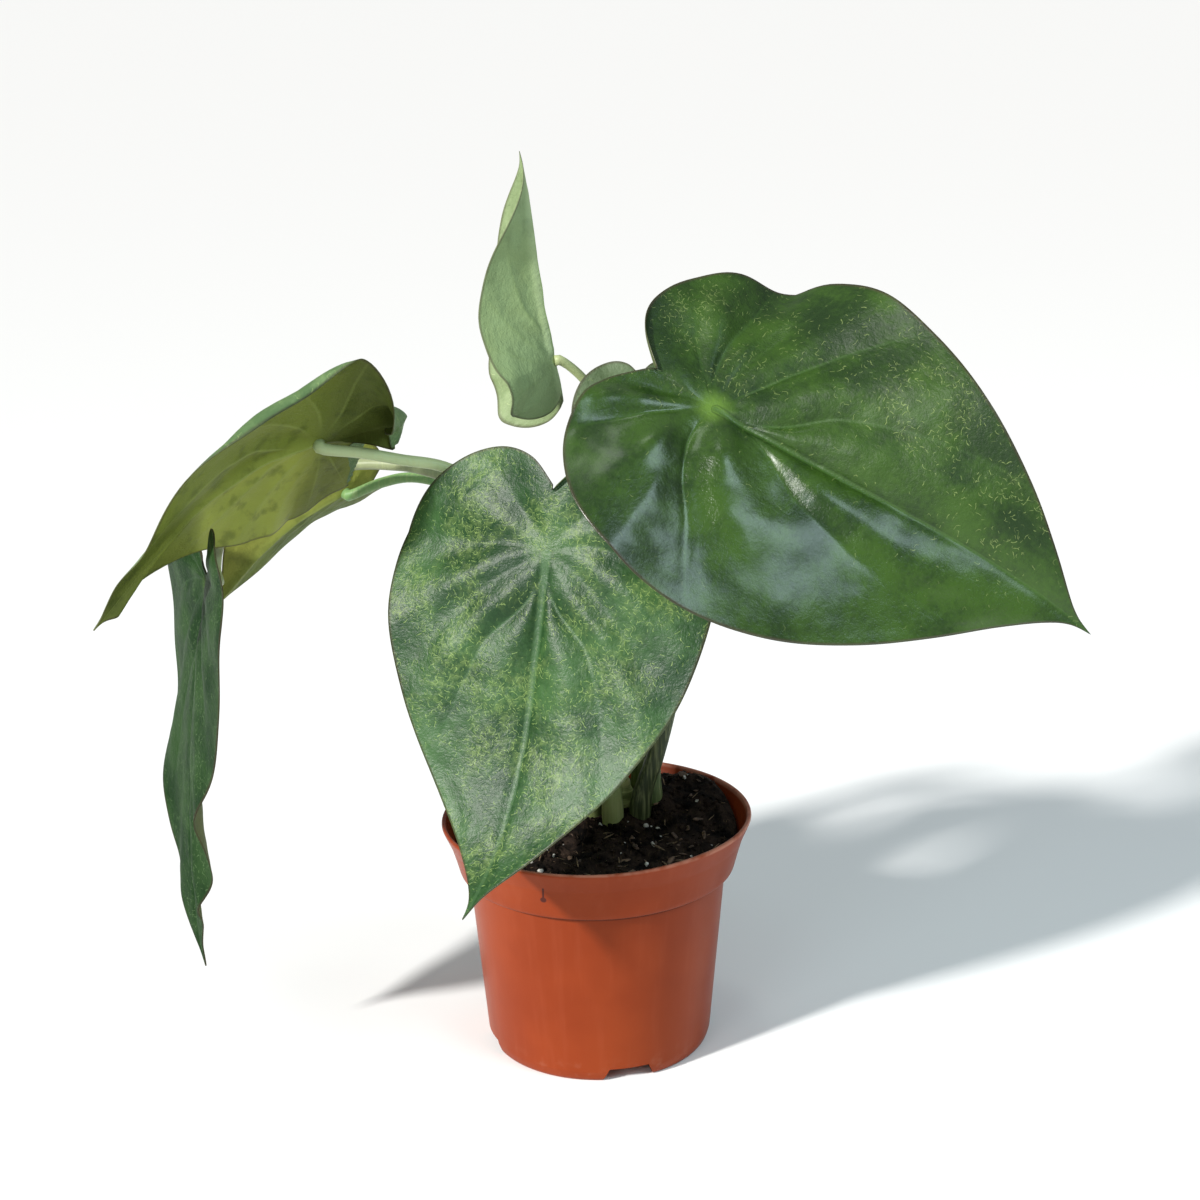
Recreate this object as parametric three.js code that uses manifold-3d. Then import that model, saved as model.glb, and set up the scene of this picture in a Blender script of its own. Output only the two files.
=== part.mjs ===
// Potted alocasia cucullata: a young plant with seven leaves in a plastic nursery pot.
// Millimetres, +Z up, the pot's foot on z = 0. Seen from the front, along +Y, +X is to the right.
import * as THREE from 'three';
import { mergeVertices } from 'three/addons/utils/BufferGeometryUtils.js';
import Module from 'manifold-3d';

// Where the pot's axis stands, so that the plant's whole width and depth lie evenly round the origin
const POT_AXIS = [2.8, 15.2];

// The 12 cm pot: radii and heights of its outside, then of its inside
const POT_SIDES = 48;
const FOOT_RADIUS = 42;
const FOOT_RING = 2.6;
const WALL_FOOT_RADIUS = 43.8;
const WALL_TOP_RADIUS = 49.8;
const BAND_RADIUS = 53.6;
const RIM_RADIUS = 60;
const POT_HEIGHT = 92.4;
const BAND_HEIGHT = 71.6;
const FLARE_HEIGHT = 78;
const POT_WALL = 1.6;
const FLOOR_BOTTOM = 6;
const FLOOR_TOP = 7.6;
const NOTCH = { count: 4, first: -75, wide: 21, narrow: 15.5, height: 5.4 };
const DRAIN = { count: 5, ring: 24, radius: 3.5, sides: 10 };
// The soft rim is dented a little at the front right and lifted a little at the right
const DENT = { depth: 1.6, at: -50, spread: 28 };
const RIM_LIFT = 0.9;

// The soil: a lumpy bed just under the rim, heaped up at the back right
const SOIL_GAP = 0.35;
const SOIL_RINGS = 10;
const SOIL_SIDES = 40;
const SOIL_EDGE = 84.5;
const SOIL_CROWN = 90;
const HEAP = { x: 40, y: 30, height: 9.5, spread: 24 };
const LUMP = 1.3;

// The crown: stalk bases in a ring round a short pale stem
const CROWN = { x: 9.5, y: 12, ring: 12 };
const STALK_FOOT = 68;
const STALK_BASE_RADIUS = 3.9;
const STEM = { radius: 6.6, foot: 66, soil: 90, top: 106 };
const HOLE_GAP = 0.35;
const HOLE_SIDES = 12;
const STALK_SIDES = 8;
const STALK_STEPS = 20;

// The blades
const BLADE_HALF = 0.35;
const SHARPEST_FOLD = 0.6;
const BLADE_SPOKES = 20;
const BLADE_RINGS = 8;
const RING_CROWDING = 0.85;
const STALK_GAP = 0.5;
const FULL_HALF_WIDTH = 0.42;
// How far the lobes reach behind the junction, and how wide their stiffer part by the notch is
const LOBE_REACH = 0.26;
const LOBE_ROOT = 0.22;

// Half a flat blade from its tip round to its notch, in lengths of the midrib: along it, out from it
const HEART = [
  [1, 0], [0.945, 0.012], [0.89, 0.042], [0.81, 0.1], [0.69, 0.19], [0.54, 0.285], [0.37, 0.368],
  [0.19, 0.415], [0.02, 0.418], [-0.12, 0.37], [-0.215, 0.275], [-0.255, 0.165], [-0.235, 0.07], [-0.165, 0],
];
// The same with a notch that opens down to the stalk
const OPEN_HEART = [...HEART.slice(0, 10), [-0.195, 0.275], [-0.215, 0.17], [-0.17, 0.09], [-0.04, 0]];
// The same with long back lobes, one of which rolls over
const LONG_HEART = [
  ...HEART.slice(0, 8), [0.02, 0.455], [-0.09, 0.415], [-0.23, 0.32], [-0.43, 0.21], [-0.45, 0.05], [-0.1, 0],
];
// Angles of the main veins from the midrib, between which the blade is puffed up
const VEINS = [0, 26, 52, 80, 110, 142, 172];

// Each leaf: where stalk and blade join, the midrib's length, how wide each half is, and angles in
// degrees at the junction, half way and at the tip. heading, pitch and roll turn the midrib's own
// frame; fold lifts a half at the midrib, and curl bends it on from there to its margin. The first of
// each pair is the left half, seen from above with the tip ahead. waves lift the margin: half, place
// from tip (0) to notch (1), height, spread. lobes shapes each lobe behind the junction: how far it
// bends up, from which share of the length on, and how much it is stretched. rolls turn the margin
// over in an even curve: half, place, spread, angle up at the margin, where on the way out it starts.
const LEAVES = [
  {
    name: 'right_large', colour: 0x2c5a24, outline: HEART,
    junction: [42.3, -45, 260.6], length: 153, width: [1.05, 1.11],
    heading: [-18, -14, 4], pitch: [-28, -27, -42], roll: [-40, -65, -78],
    fold: [[0, 14, 9], [5, 6, -3]], curl: [[-14, -7, -10], [-3, -1, -7]],
    lobes: [[8, 0, 1], [-4, 0, 1]], puff: 2.2,
    waves: [[0, 0.565, 3.5, 0.045], [0, 0.645, -4, 0.035], [0, 0.45, -2.5, 0.05]],
    rolls: [[0, 1, 0.1, 150, 0.89]],
    stalk: { at: -55, radius: 2.4, colour: 0x3f5a2a },
    route: [[17.6, 2.4, 98], [22.5, 2.6, 113], [28.5, 2.5, 137], [34, -3, 180], [41, -19, 225]],
  },
  {
    name: 'front_large', colour: 0x5b8450, outline: HEART,
    junction: [-16, -40, 209.3], length: 137, width: [1.08, 1.05],
    heading: [-117, -120, -121], pitch: [-71, -69, -26], roll: [2, 2, -7],
    fold: [[-5, 0, -5], [-1, 6, -5]], curl: [[-13, -9, -6], [-9, -1, -13]],
    lobes: [[0, 0, 1], [0, 0, 1]], puff: 1.4,
    waves: [[1, 0.35, 1.5, 0.06], [0, 0.3, 1.5, 0.05]],
    rolls: [[0, 0.97, 0.09, 143, 0.89]],
    stalk: { at: -106, radius: 2.3, colour: 0x7f9e5c },
    route: [[6.2, 0, 98], [5, -2, 130], [0, -7, 165], [-6, -16, 192]],
  },
  {
    name: 'back_upright', colour: 0x6d9158, outline: HEART,
    junction: [-13.2, 10, 267.6], length: 77, width: [0.86, 0.82],
    heading: [-10, -14, 5], pitch: [106, 96, 101], roll: [-18, -8, -62],
    fold: [[56, 50, 42], [45, 50, 40]], curl: [[4, 0, -1], [9, 5, -1]],
    lobes: [[70, 0, 1.2], [80, 0, 1]], puff: 0.6,
    waves: [], rolls: [],
    stalk: { at: 48, radius: 1.7, colour: 0x9db377 },
    route: [[17.5, 21, 98], [17.5, 21.5, 140], [13, 20, 190], [7, 17, 235], [-1, 14, 258]],
  },
  {
    name: 'left_upper', colour: 0x66712e, outline: LONG_HEART,
    junction: [-99.1, -10, 242.4], length: 109, width: [0.98, 1.04],
    heading: [-150, -148, -177], pitch: [-1, -36, -51], roll: [-52, -42, -25],
    fold: [[5, -2, 1], [5, 1, 13]], curl: [[-15, -7, 0], [1, -19, 20]],
    lobes: [[0, 0, 1], [0, 0, 0.62]], puff: 0.8,
    waves: [[0, 0.3, -2.5, 0.05], [0, 0.43, 2, 0.06], [0, 0.57, -2, 0.05], [0, 0.69, 3.5, 0.04],
      [1, 0.12, -4, 0.05]],
    rolls: [[0, 0.55, 0.08, -165, 0.89], [0, 0.86, 0.11, -218, 0.5]],
    stalk: { at: -158, radius: 2.1, colour: 0x9aa86c },
    route: [[-1.8, 7.4, 98], [-5, 6, 140], [-15, 5, 185], [-32, 3, 215.2], [-53, -2, 230.5],
      [-70, -6, 234.9], [-84, -10, 238.6]],
  },
  {
    name: 'left_lower', colour: 0x5d6d30, outline: HEART,
    junction: [-96.2, 44, 210.3], length: 70, width: [0.95, 0.8],
    heading: [-162, -172, -182], pitch: [-17, -42, -49], roll: [-53, -52, -60],
    fold: [[25, 25, 25], [24, 26, 21]], curl: [[0, 0, 0], [-3, 1, 0]],
    lobes: [[0, 0, 1], [0, 0, 1]], puff: 0.6,
    waves: [], rolls: [],
    stalk: { at: 99, radius: 2, colour: 0x6f9a58 },
    route: [[7.5, 24.3, 98], [3, 25.5, 140], [-8, 27, 180], [-28, 29, 206], [-58, 30, 217.4],
      [-70.4, 34, 218.6], [-82, 38.5, 215.4]],
  },
  {
    name: 'left_hanging', colour: 0x2f6238, outline: OPEN_HEART,
    junction: [-140.8, -19, 192.6], length: 154, width: [0.86, 0.84],
    heading: [-173, -164, -148], pitch: [-82, -84, -98], roll: [7, 3, 10],
    fold: [[10, 5, 2], [13, 5, 7]], curl: [[-26, -12, 5], [-2, -7, -10]],
    lobes: [[0, 0, 0.8], [0, 0, 0.4]], puff: 1,
    waves: [[0, 0.5, -2.5, 0.05], [0, 0.4, 4.5, 0.035], [0, 0.3, -2, 0.035], [0, 0.235, 3, 0.03],
      [1, 0.47, -2, 0.05], [1, 0.37, 2, 0.04], [1, 0.27, -2.5, 0.035]],
    rolls: [],
    stalk: { at: 151, radius: 1.9, colour: 0xa79a86 },
    route: [[-1.4, 18, 98], [-6, 17, 145], [-20, 16, 190], [-42, 17, 216], [-64, 17, 226],
      [-76, 20, 227], [-90, 25, 226], [-106, 26, 223], [-121, 20, 219], [-135, 14, 211],
      [-140, 7, 201], [-140, -5, 194]],
  },
  {
    name: 'right_small', colour: 0x6f8a66, outline: HEART,
    junction: [18.2, 0, 253.8], length: 60, width: [1, 1],
    heading: [-90, -90, -90], pitch: [-70, -76, -84], roll: [0, 0, 0],
    fold: [[4, 6, 6], [4, 6, 6]], curl: [[-12, -8, -8], [-12, -8, -8]],
    lobes: [[-12, 0, 1], [-12, 0, 1]], puff: 0.6,
    waves: [], rolls: [],
    stalk: { at: -3, radius: 1.8, colour: 0x8aa468 },
    route: [[21.8, 11.4, 98], [22.5, 12, 150], [21.5, 12, 200], [19.5, 8, 238]],
  },
];

const wasm = await Module();
wasm.setup();

const degrees = THREE.MathUtils.degToRad;

// A closed geometry from points and triangles
function closedGeometry(points, triangles) {
  const geometry = new THREE.BufferGeometry();
  geometry.setAttribute('position', new THREE.Float32BufferAttribute(points.flat(), 3));
  geometry.setIndex(triangles.flat());
  return geometry;
}

function toSolid(geometry) {
  geometry.deleteAttribute('normal');
  geometry.deleteAttribute('uv');
  const merged = mergeVertices(geometry, 1e-4);
  return new wasm.Manifold(new wasm.Mesh({
    numProp: 3,
    vertProperties: new Float32Array(merged.attributes.position.array),
    triVerts: new Uint32Array(merged.index.array),
  }));
}

function toGeometry(solid) {
  const mesh = solid.getMesh();
  const geometry = new THREE.BufferGeometry();
  geometry.setAttribute('position', new THREE.BufferAttribute(mesh.vertProperties, 3));
  geometry.setIndex(new THREE.BufferAttribute(mesh.triVerts, 1));
  return geometry;
}

// A lathe turned round +Z from points of radius and height
function lathe(profile, sides) {
  const outline = profile.map(([radius, height]) => new THREE.Vector2(radius, height));
  const geometry = new THREE.LatheGeometry(outline, sides);
  geometry.rotateX(Math.PI / 2);
  return geometry;
}

// An upright prism with round sides, from one height to another
function post(x, y, radius, bottom, top, sides) {
  const geometry = new THREE.CylinderGeometry(radius, radius, top - bottom, sides);
  geometry.rotateX(Math.PI / 2);
  geometry.translate(x, y, (bottom + top) / 2);
  return geometry;
}

// Moves the points of the pot and its soil to the shape of the soft, slightly dented rim
function warpByRim(geometry) {
  const place = geometry.attributes.position;
  for (let i = 0; i < place.count; i += 1) {
    const x = place.getX(i);
    const y = place.getY(i);
    const z = place.getZ(i);
    const share = (z / POT_HEIGHT) ** 3;
    const away = THREE.MathUtils.radToDeg(Math.atan2(y, x)) - DENT.at;
    const turned = ((away + 540) % 360) - 180;
    const inward = share * DENT.depth * Math.exp(-((turned / DENT.spread) ** 2));
    const scale = 1 - inward / RIM_RADIUS;
    place.setXYZ(i, x * scale, y * scale, z + share * RIM_LIFT * (x / RIM_RADIUS));
  }
  return geometry;
}

function potGeometry() {
  const outside = [
    [0, FLOOR_BOTTOM], [FOOT_RADIUS - FOOT_RING, FLOOR_BOTTOM], [FOOT_RADIUS - FOOT_RING, 0],
    [FOOT_RADIUS, 0], [FOOT_RADIUS + 1, 1.4], [WALL_FOOT_RADIUS, 4],
    [WALL_TOP_RADIUS, BAND_HEIGHT - 1.2], [BAND_RADIUS - 0.6, BAND_HEIGHT],
    [BAND_RADIUS, BAND_HEIGHT + 1.4], [BAND_RADIUS + 1.3, FLARE_HEIGHT], [56.7, 84], [59.1, 89.4],
    [RIM_RADIUS, POT_HEIGHT - 1], [RIM_RADIUS - 0.4, POT_HEIGHT],
  ];
  const inside = [
    [RIM_RADIUS - POT_WALL, POT_HEIGHT - 0.2], [57.5, 89.8], [55.3, 84.6],
    [BAND_RADIUS, FLARE_HEIGHT + 0.4], [BAND_RADIUS - POT_WALL, BAND_HEIGHT + 1.6],
    [WALL_TOP_RADIUS - POT_WALL, BAND_HEIGHT], [WALL_FOOT_RADIUS - POT_WALL, 9.4],
    [FOOT_RADIUS - POT_WALL, FLOOR_TOP], [0, FLOOR_TOP],
  ];
  let pot = toSolid(lathe([...outside, ...inside], POT_SIDES));
  for (let i = 0; i < NOTCH.count; i += 1) {
    const shape = new THREE.Shape();
    shape.moveTo(-NOTCH.wide / 2, -1);
    shape.lineTo(NOTCH.wide / 2, -1);
    shape.lineTo(NOTCH.narrow / 2, NOTCH.height);
    shape.lineTo(-NOTCH.narrow / 2, NOTCH.height);
    shape.closePath();
    const cutter = new THREE.ExtrudeGeometry(shape, { depth: 10, bevelEnabled: false });
    cutter.rotateX(Math.PI / 2);
    cutter.rotateZ(Math.PI / 2);
    cutter.translate(FOOT_RADIUS - 6, 0, 0);
    cutter.rotateZ(degrees(NOTCH.first + (360 / NOTCH.count) * i));
    pot = pot.subtract(toSolid(cutter));
  }
  for (let i = 0; i < DRAIN.count; i += 1) {
    const turn = degrees((360 / DRAIN.count) * i);
    const hole = post(DRAIN.ring * Math.cos(turn), DRAIN.ring * Math.sin(turn), DRAIN.radius,
      FLOOR_BOTTOM - 2, FLOOR_TOP + 2, DRAIN.sides);
    pot = pot.subtract(toSolid(hole));
  }
  return warpByRim(toGeometry(pot));
}

// A repeatable number from -1 to 1 for a place in the soil
function scatter(i, j) {
  const value = Math.sin(i * 127.1 + j * 311.7) * 43758.5453;
  return 2 * (value - Math.floor(value)) - 1;
}

function soilHeight(x, y) {
  const out = Math.hypot(x, y) / RIM_RADIUS;
  const toCrown = Math.hypot(x - CROWN.x, y - CROWN.y) / 30;
  const toHeap = Math.hypot(x - HEAP.x, y - HEAP.y) / HEAP.spread;
  return SOIL_EDGE + (SOIL_CROWN - SOIL_EDGE) * Math.exp(-(toCrown ** 2))
    + HEAP.height * Math.exp(-(toHeap ** 2)) - 2 * out ** 6;
}

function soilGeometry(holes) {
  const side = [
    [FOOT_RADIUS - POT_WALL - 0.5, FLOOR_TOP + SOIL_GAP], [WALL_FOOT_RADIUS - POT_WALL - SOIL_GAP, 9.7],
    [WALL_TOP_RADIUS - POT_WALL - SOIL_GAP, BAND_HEIGHT + SOIL_GAP],
    [BAND_RADIUS - POT_WALL - SOIL_GAP - 0.1, BAND_HEIGHT + 2],
    [BAND_RADIUS - SOIL_GAP - 0.1, FLARE_HEIGHT + 0.6],
  ];
  const points = [[0, 0, soilHeight(0, 0)]];
  const triangles = [];
  const rows = [];
  const addRow = (radius, height) => {
    const row = [];
    for (let i = 0; i < SOIL_SIDES; i += 1) {
      const turn = (2 * Math.PI * i) / SOIL_SIDES;
      row.push(points.length);
      points.push([radius * Math.cos(turn), radius * Math.sin(turn), height(i, turn)]);
    }
    rows.push(row);
  };
  const edgeRadius = 54.4;
  for (let ring = 1; ring <= SOIL_RINGS; ring += 1) {
    const radius = edgeRadius * (ring / SOIL_RINGS) ** 0.9;
    const rough = ring === SOIL_RINGS ? 0.3 : 1;
    addRow(radius, (i, turn) => soilHeight(radius * Math.cos(turn), radius * Math.sin(turn))
      + rough * LUMP * scatter(i, ring));
  }
  for (const [radius, height] of [...side].reverse()) addRow(radius, () => height);
  const foot = points.length;
  points.push([0, 0, FLOOR_TOP + SOIL_GAP]);
  for (let i = 0; i < SOIL_SIDES; i += 1) {
    const next = (i + 1) % SOIL_SIDES;
    triangles.push([0, rows[0][i], rows[0][next]]);
    for (let row = 0; row + 1 < rows.length; row += 1) {
      triangles.push([rows[row][i], rows[row + 1][i], rows[row + 1][next]]);
      triangles.push([rows[row][i], rows[row + 1][next], rows[row][next]]);
    }
    const last = rows[rows.length - 1];
    triangles.push([foot, last[next], last[i]]);
  }
  let soil = toSolid(warpByRim(closedGeometry(points, triangles)));
  for (const hole of holes) soil = soil.subtract(toSolid(hole));
  return toGeometry(soil);
}

// A smooth value through the three that are given at the junction, half way and at the tip
function along(values, share) {
  const s = THREE.MathUtils.clamp(share, 0, 1);
  return values[0] * (1 - s) * (1 - 2 * s) + values[1] * 4 * s * (1 - s) + values[2] * s * (2 * s - 1);
}

// The midrib's own frame at a share of its length: ahead, up out of the blade, and to the left
function ribFrame(leaf, share) {
  const heading = degrees(along(leaf.heading, share));
  const pitch = degrees(along(leaf.pitch, share));
  const roll = degrees(along(leaf.roll, share));
  const ahead = new THREE.Vector3(
    Math.cos(pitch) * Math.cos(heading), Math.cos(pitch) * Math.sin(heading), Math.sin(pitch),
  );
  const rise = new THREE.Vector3(
    -Math.sin(pitch) * Math.cos(heading), -Math.sin(pitch) * Math.sin(heading), Math.cos(pitch),
  );
  const side = new THREE.Vector3().crossVectors(rise, ahead);
  const up = rise.clone().multiplyScalar(Math.cos(roll)).addScaledVector(side, Math.sin(roll));
  const left = side.clone().multiplyScalar(Math.cos(roll)).addScaledVector(rise, -Math.sin(roll));
  return { ahead, up, left };
}

// Points along the midrib, from behind the junction to the tip
function ribPoints(leaf) {
  const step = 0.01;
  const at = new Map();
  const start = new THREE.Vector3(...leaf.junction);
  for (const direction of [1, -1]) {
    const point = start.clone();
    const count = direction === 1 ? 100 : 30;
    at.set(0, start.clone());
    for (let i = 1; i <= count; i += 1) {
      const middle = direction * (i - 0.5) * step;
      point.addScaledVector(ribFrame(leaf, middle).ahead, direction * step * leaf.length);
      at.set(direction * i, point.clone());
    }
  }
  return (share) => {
    const index = THREE.MathUtils.clamp(share / step, -30, 100);
    const low = Math.min(Math.floor(index), 99);
    return at.get(low).clone().lerp(at.get(low + 1), index - low);
  };
}

// How far the blade is puffed up between its veins, at a flat place
function puffAt(leaf, a, b) {
  const angle = THREE.MathUtils.radToDeg(Math.atan2(Math.abs(b), a));
  const reach = Math.hypot(a, b) / 0.24;
  let low = 0;
  while (low < VEINS.length - 2 && angle > VEINS[low + 1]) low += 1;
  const between = THREE.MathUtils.clamp((angle - VEINS[low]) / (VEINS[low + 1] - VEINS[low]), 0, 1);
  return leaf.puff * Math.sin(Math.PI * between) ** 2 * reach * Math.exp(1 - reach);
}

// The place in space of a flat place on the blade: a along the midrib, b out from it, before its
// margin is rolled
function openPoint(leaf, rib, a, b, half, place, reach) {
  const { ahead, up, left } = ribFrame(leaf, a);
  const out = Math.abs(b) * leaf.width[half];
  const fold = degrees(along(leaf.fold[half], a));
  const curl = degrees(along(leaf.curl[half], a));
  const parts = 16;
  let across = 0;
  let lift = 0;
  for (let i = 0; i < parts; i += 1) {
    const angle = fold + (curl * out * (i + 0.5)) / parts / FULL_HALF_WIDTH;
    across += (Math.cos(angle) * out) / parts;
    lift += (Math.sin(angle) * out) / parts;
  }
  const point = rib(a);
  point.addScaledVector(left, (half === 0 ? 1 : -1) * across * leaf.length);
  point.addScaledVector(up, lift * leaf.length);
  const [bend, from, stretch] = leaf.lobes[half];
  const past = -a * stretch - from;
  if (a < 0) point.addScaledVector(ahead, leaf.length * a * (stretch - 1));
  if (a < 0 && past > 0 && bend !== 0) {
    const share = THREE.MathUtils.clamp(Math.abs(b) / LOBE_ROOT, 0.1, 1);
    const radius = (LOBE_REACH * stretch - from) / degrees(Math.abs(bend)) / share;
    const turn = past / radius;
    point.addScaledVector(ahead, leaf.length * (past - radius * Math.sin(turn)));
    point.addScaledVector(up, leaf.length * Math.sign(bend) * radius * (1 - Math.cos(turn)));
  }
  let wave = puffAt(leaf, a, b);
  for (const [side, at, height, spread] of leaf.waves) {
    if (side === half) wave += height * reach ** 3 * Math.exp(-(((place - at) / spread) ** 2));
  }
  return point.addScaledVector(up, wave);
}

// The same with the margin rolled, for a place on the outline and a share of the way out to it
function bladePoint(leaf, rib, edge, half, place, reach) {
  const open = openPoint(leaf, rib, edge.x * reach, edge.y * reach, half, place, reach);
  const point = open.clone();
  for (const [side, at, spread, angle, from] of leaf.rolls) {
    const past = (reach - from) / (1 - from);
    const turn = degrees(angle) * past * Math.exp(-(((place - at) / spread) ** 2));
    if (side === half && past > 0 && Math.abs(turn) > 1e-3) {
      const start = openPoint(leaf, rib, edge.x * from, edge.y * from, half, place, from);
      const outward = open.clone().sub(start);
      const distance = outward.length();
      const { up } = ribFrame(leaf, edge.x * reach);
      point.addScaledVector(outward, Math.sin(turn) / turn - 1);
      point.addScaledVector(up, (distance * (1 - Math.cos(turn))) / turn);
    }
  }
  return point;
}

// A blade: spokes from the junction to the margin, on both faces alike, closed along the margin
function bladeGeometry(leaf) {
  const rib = ribPoints(leaf);
  const outline = new THREE.SplineCurve(leaf.outline.map(([a, b]) => new THREE.Vector2(a, b)));
  const spokes = [];
  for (const half of [0, 1]) {
    const from = half === 0 ? 0 : BLADE_SPOKES - 1;
    const count = half === 0 ? BLADE_SPOKES : BLADE_SPOKES - 1;
    for (let i = 0; i < count; i += 1) {
      const place = half === 0 ? i / BLADE_SPOKES : (from + 1 - i) / BLADE_SPOKES;
      const edge = outline.getPoint(place);
      const row = [];
      for (let ring = 1; ring <= BLADE_RINGS; ring += 1) {
        const reach = (ring / BLADE_RINGS) ** RING_CROWDING;
        row.push(bladePoint(leaf, rib, edge, half, place, reach));
      }
      spokes.push(row);
    }
    if (half === 0) {
      const row = [];
      const edge = outline.getPoint(1);
      for (let ring = 1; ring <= BLADE_RINGS; ring += 1) {
        const reach = (ring / BLADE_RINGS) ** RING_CROWDING;
        row.push(bladePoint(leaf, rib, edge, 0, 1, reach));
      }
      spokes.push(row);
    }
  }
  const middle = [new THREE.Vector3(...leaf.junction), ...spokes.flat()];
  const count = spokes.length;
  const index = (spoke, ring) => (ring === 0 ? 0 : 1 + (spoke % count) * BLADE_RINGS + ring - 1);
  const faces = [];
  for (let spoke = 0; spoke < count; spoke += 1) {
    faces.push([0, index(spoke, 1), index(spoke + 1, 1)]);
    for (let ring = 1; ring < BLADE_RINGS; ring += 1) {
      faces.push([index(spoke, ring), index(spoke, ring + 1), index(spoke + 1, ring + 1)]);
      faces.push([index(spoke, ring), index(spoke + 1, ring + 1), index(spoke + 1, ring)]);
    }
  }
  const normals = middle.map(() => new THREE.Vector3());
  const shares = middle.map(() => 0);
  for (const [i, j, k] of faces) {
    const one = middle[j].clone().sub(middle[i]);
    const two = middle[k].clone().sub(middle[i]);
    const normal = one.cross(two).normalize();
    for (const corner of [i, j, k]) {
      normals[corner].add(normal);
      shares[corner] += 1;
    }
  }
  // Where the blade folds over, the faces stand further from its middle so that it stays as thick
  normals.forEach((normal, i) => {
    const spreadOut = Math.max(SHARPEST_FOLD, normal.length() / shares[i]);
    normal.normalize().divideScalar(spreadOut);
  });
  const points = [];
  for (const side of [1, -1]) {
    middle.forEach((point, i) => {
      points.push(point.clone().addScaledVector(normals[i], side * BLADE_HALF).toArray());
    });
  }
  const under = middle.length;
  const triangles = faces.map((face) => [...face]);
  for (const [i, j, k] of faces) triangles.push([under + i, under + k, under + j]);
  for (let spoke = 0; spoke < count; spoke += 1) {
    const here = index(spoke, BLADE_RINGS);
    const next = index(spoke + 1, BLADE_RINGS);
    triangles.push([here, under + here, under + next]);
    triangles.push([here, under + next, next]);
  }
  return closedGeometry(points, triangles);
}

function stalkBase(leaf) {
  const turn = degrees(leaf.stalk.at);
  return [CROWN.x + CROWN.ring * Math.cos(turn), CROWN.y + CROWN.ring * Math.sin(turn)];
}

// A leaf stalk: a tapered tube from its hole in the soil to just under its blade
function stalkGeometry(leaf) {
  const [x, y] = stalkBase(leaf);
  const { up } = ribFrame(leaf, 0);
  const junction = new THREE.Vector3(...leaf.junction);
  const end = junction.clone().addScaledVector(up, -BLADE_HALF - STALK_GAP);
  const before = junction.clone().addScaledVector(up, -3.5);
  const curve = new THREE.CatmullRomCurve3([
    new THREE.Vector3(x, y, STALK_FOOT), new THREE.Vector3(x, y, (STALK_FOOT + SOIL_CROWN) / 2),
    ...leaf.route.map((point) => new THREE.Vector3(...point)), before, end,
  ], false, 'centripetal');
  const frames = curve.computeFrenetFrames(STALK_STEPS, false);
  const points = [];
  for (let step = 0; step <= STALK_STEPS; step += 1) {
    const share = step / STALK_STEPS;
    const centre = curve.getPointAt(share);
    const radius = THREE.MathUtils.lerp(STALK_BASE_RADIUS, leaf.stalk.radius, Math.min(1, share * 1.3));
    for (let i = 0; i < STALK_SIDES; i += 1) {
      const turn = (2 * Math.PI * i) / STALK_SIDES;
      points.push(centre.clone()
        .addScaledVector(frames.normals[step], radius * Math.cos(turn))
        .addScaledVector(frames.binormals[step], radius * Math.sin(turn)).toArray());
    }
  }
  const foot = points.length;
  points.push(curve.getPointAt(0).toArray(), curve.getPointAt(1).toArray());
  const triangles = [];
  for (let i = 0; i < STALK_SIDES; i += 1) {
    const next = (i + 1) % STALK_SIDES;
    for (let step = 0; step < STALK_STEPS; step += 1) {
      const low = step * STALK_SIDES;
      const high = low + STALK_SIDES;
      triangles.push([low + i, low + next, high + next], [low + i, high + next, high + i]);
    }
    const last = STALK_STEPS * STALK_SIDES;
    triangles.push([foot, next, i], [foot + 1, last + i, last + next]);
  }
  return closedGeometry(points, triangles);
}

function stemProfile() {
  return [
    [0, STEM.foot], [STEM.radius, STEM.foot], [STEM.radius, STEM.soil - 3],
    [STEM.radius - 0.6, STEM.soil + 4], [STEM.radius - 2.4, STEM.soil + 10],
    [STEM.radius - 4.6, STEM.top - 1], [0, STEM.top],
  ];
}

const group = new THREE.Group();
group.position.set(POT_AXIS[0], POT_AXIS[1], 0);

function addMesh(name, geometry, colour, roughness) {
  const mesh = new THREE.Mesh(
    geometry,
    new THREE.MeshStandardMaterial({ color: colour, roughness, metalness: 0, flatShading: true }),
  );
  mesh.name = name;
  group.add(mesh);
  return mesh;
}

const stemGeometry = lathe(stemProfile(), HOLE_SIDES);
stemGeometry.translate(CROWN.x, CROWN.y, 0);
const widen = 1 / Math.cos(Math.PI / HOLE_SIDES);
const holes = LEAVES.map((leaf) => {
  const [x, y] = stalkBase(leaf);
  return post(x, y, (STALK_BASE_RADIUS + HOLE_GAP) * widen, STALK_FOOT - HOLE_GAP, 120, HOLE_SIDES);
});
holes.push(post(CROWN.x, CROWN.y, (STEM.radius + HOLE_GAP) * widen, STEM.foot - HOLE_GAP, 120, 16));

addMesh('pot', potGeometry(), 0xbe5c3e, 0.45);
addMesh('soil', soilGeometry(holes), 0x241c17, 0.95);
addMesh('stem_base', stemGeometry, 0xb7bd7c, 0.6);
for (const leaf of LEAVES) {
  addMesh(`stalk_${leaf.name}`, stalkGeometry(leaf), leaf.stalk.colour, 0.5);
  addMesh(`blade_${leaf.name}`, bladeGeometry(leaf), leaf.colour, 0.4);
}

export default group;
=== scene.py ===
"""A potted alocasia cucullata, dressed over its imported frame.

Each blade, each stalk, the stem, the soil and the pot keep the form and the named values of the solid that
they stand for. They are finer, with veins, flecks, rounded corners, grains on the soil and procedural
finishes. Lengths in the tables are in millimetres, round the pot's own axis.
"""
import math
import random

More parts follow.
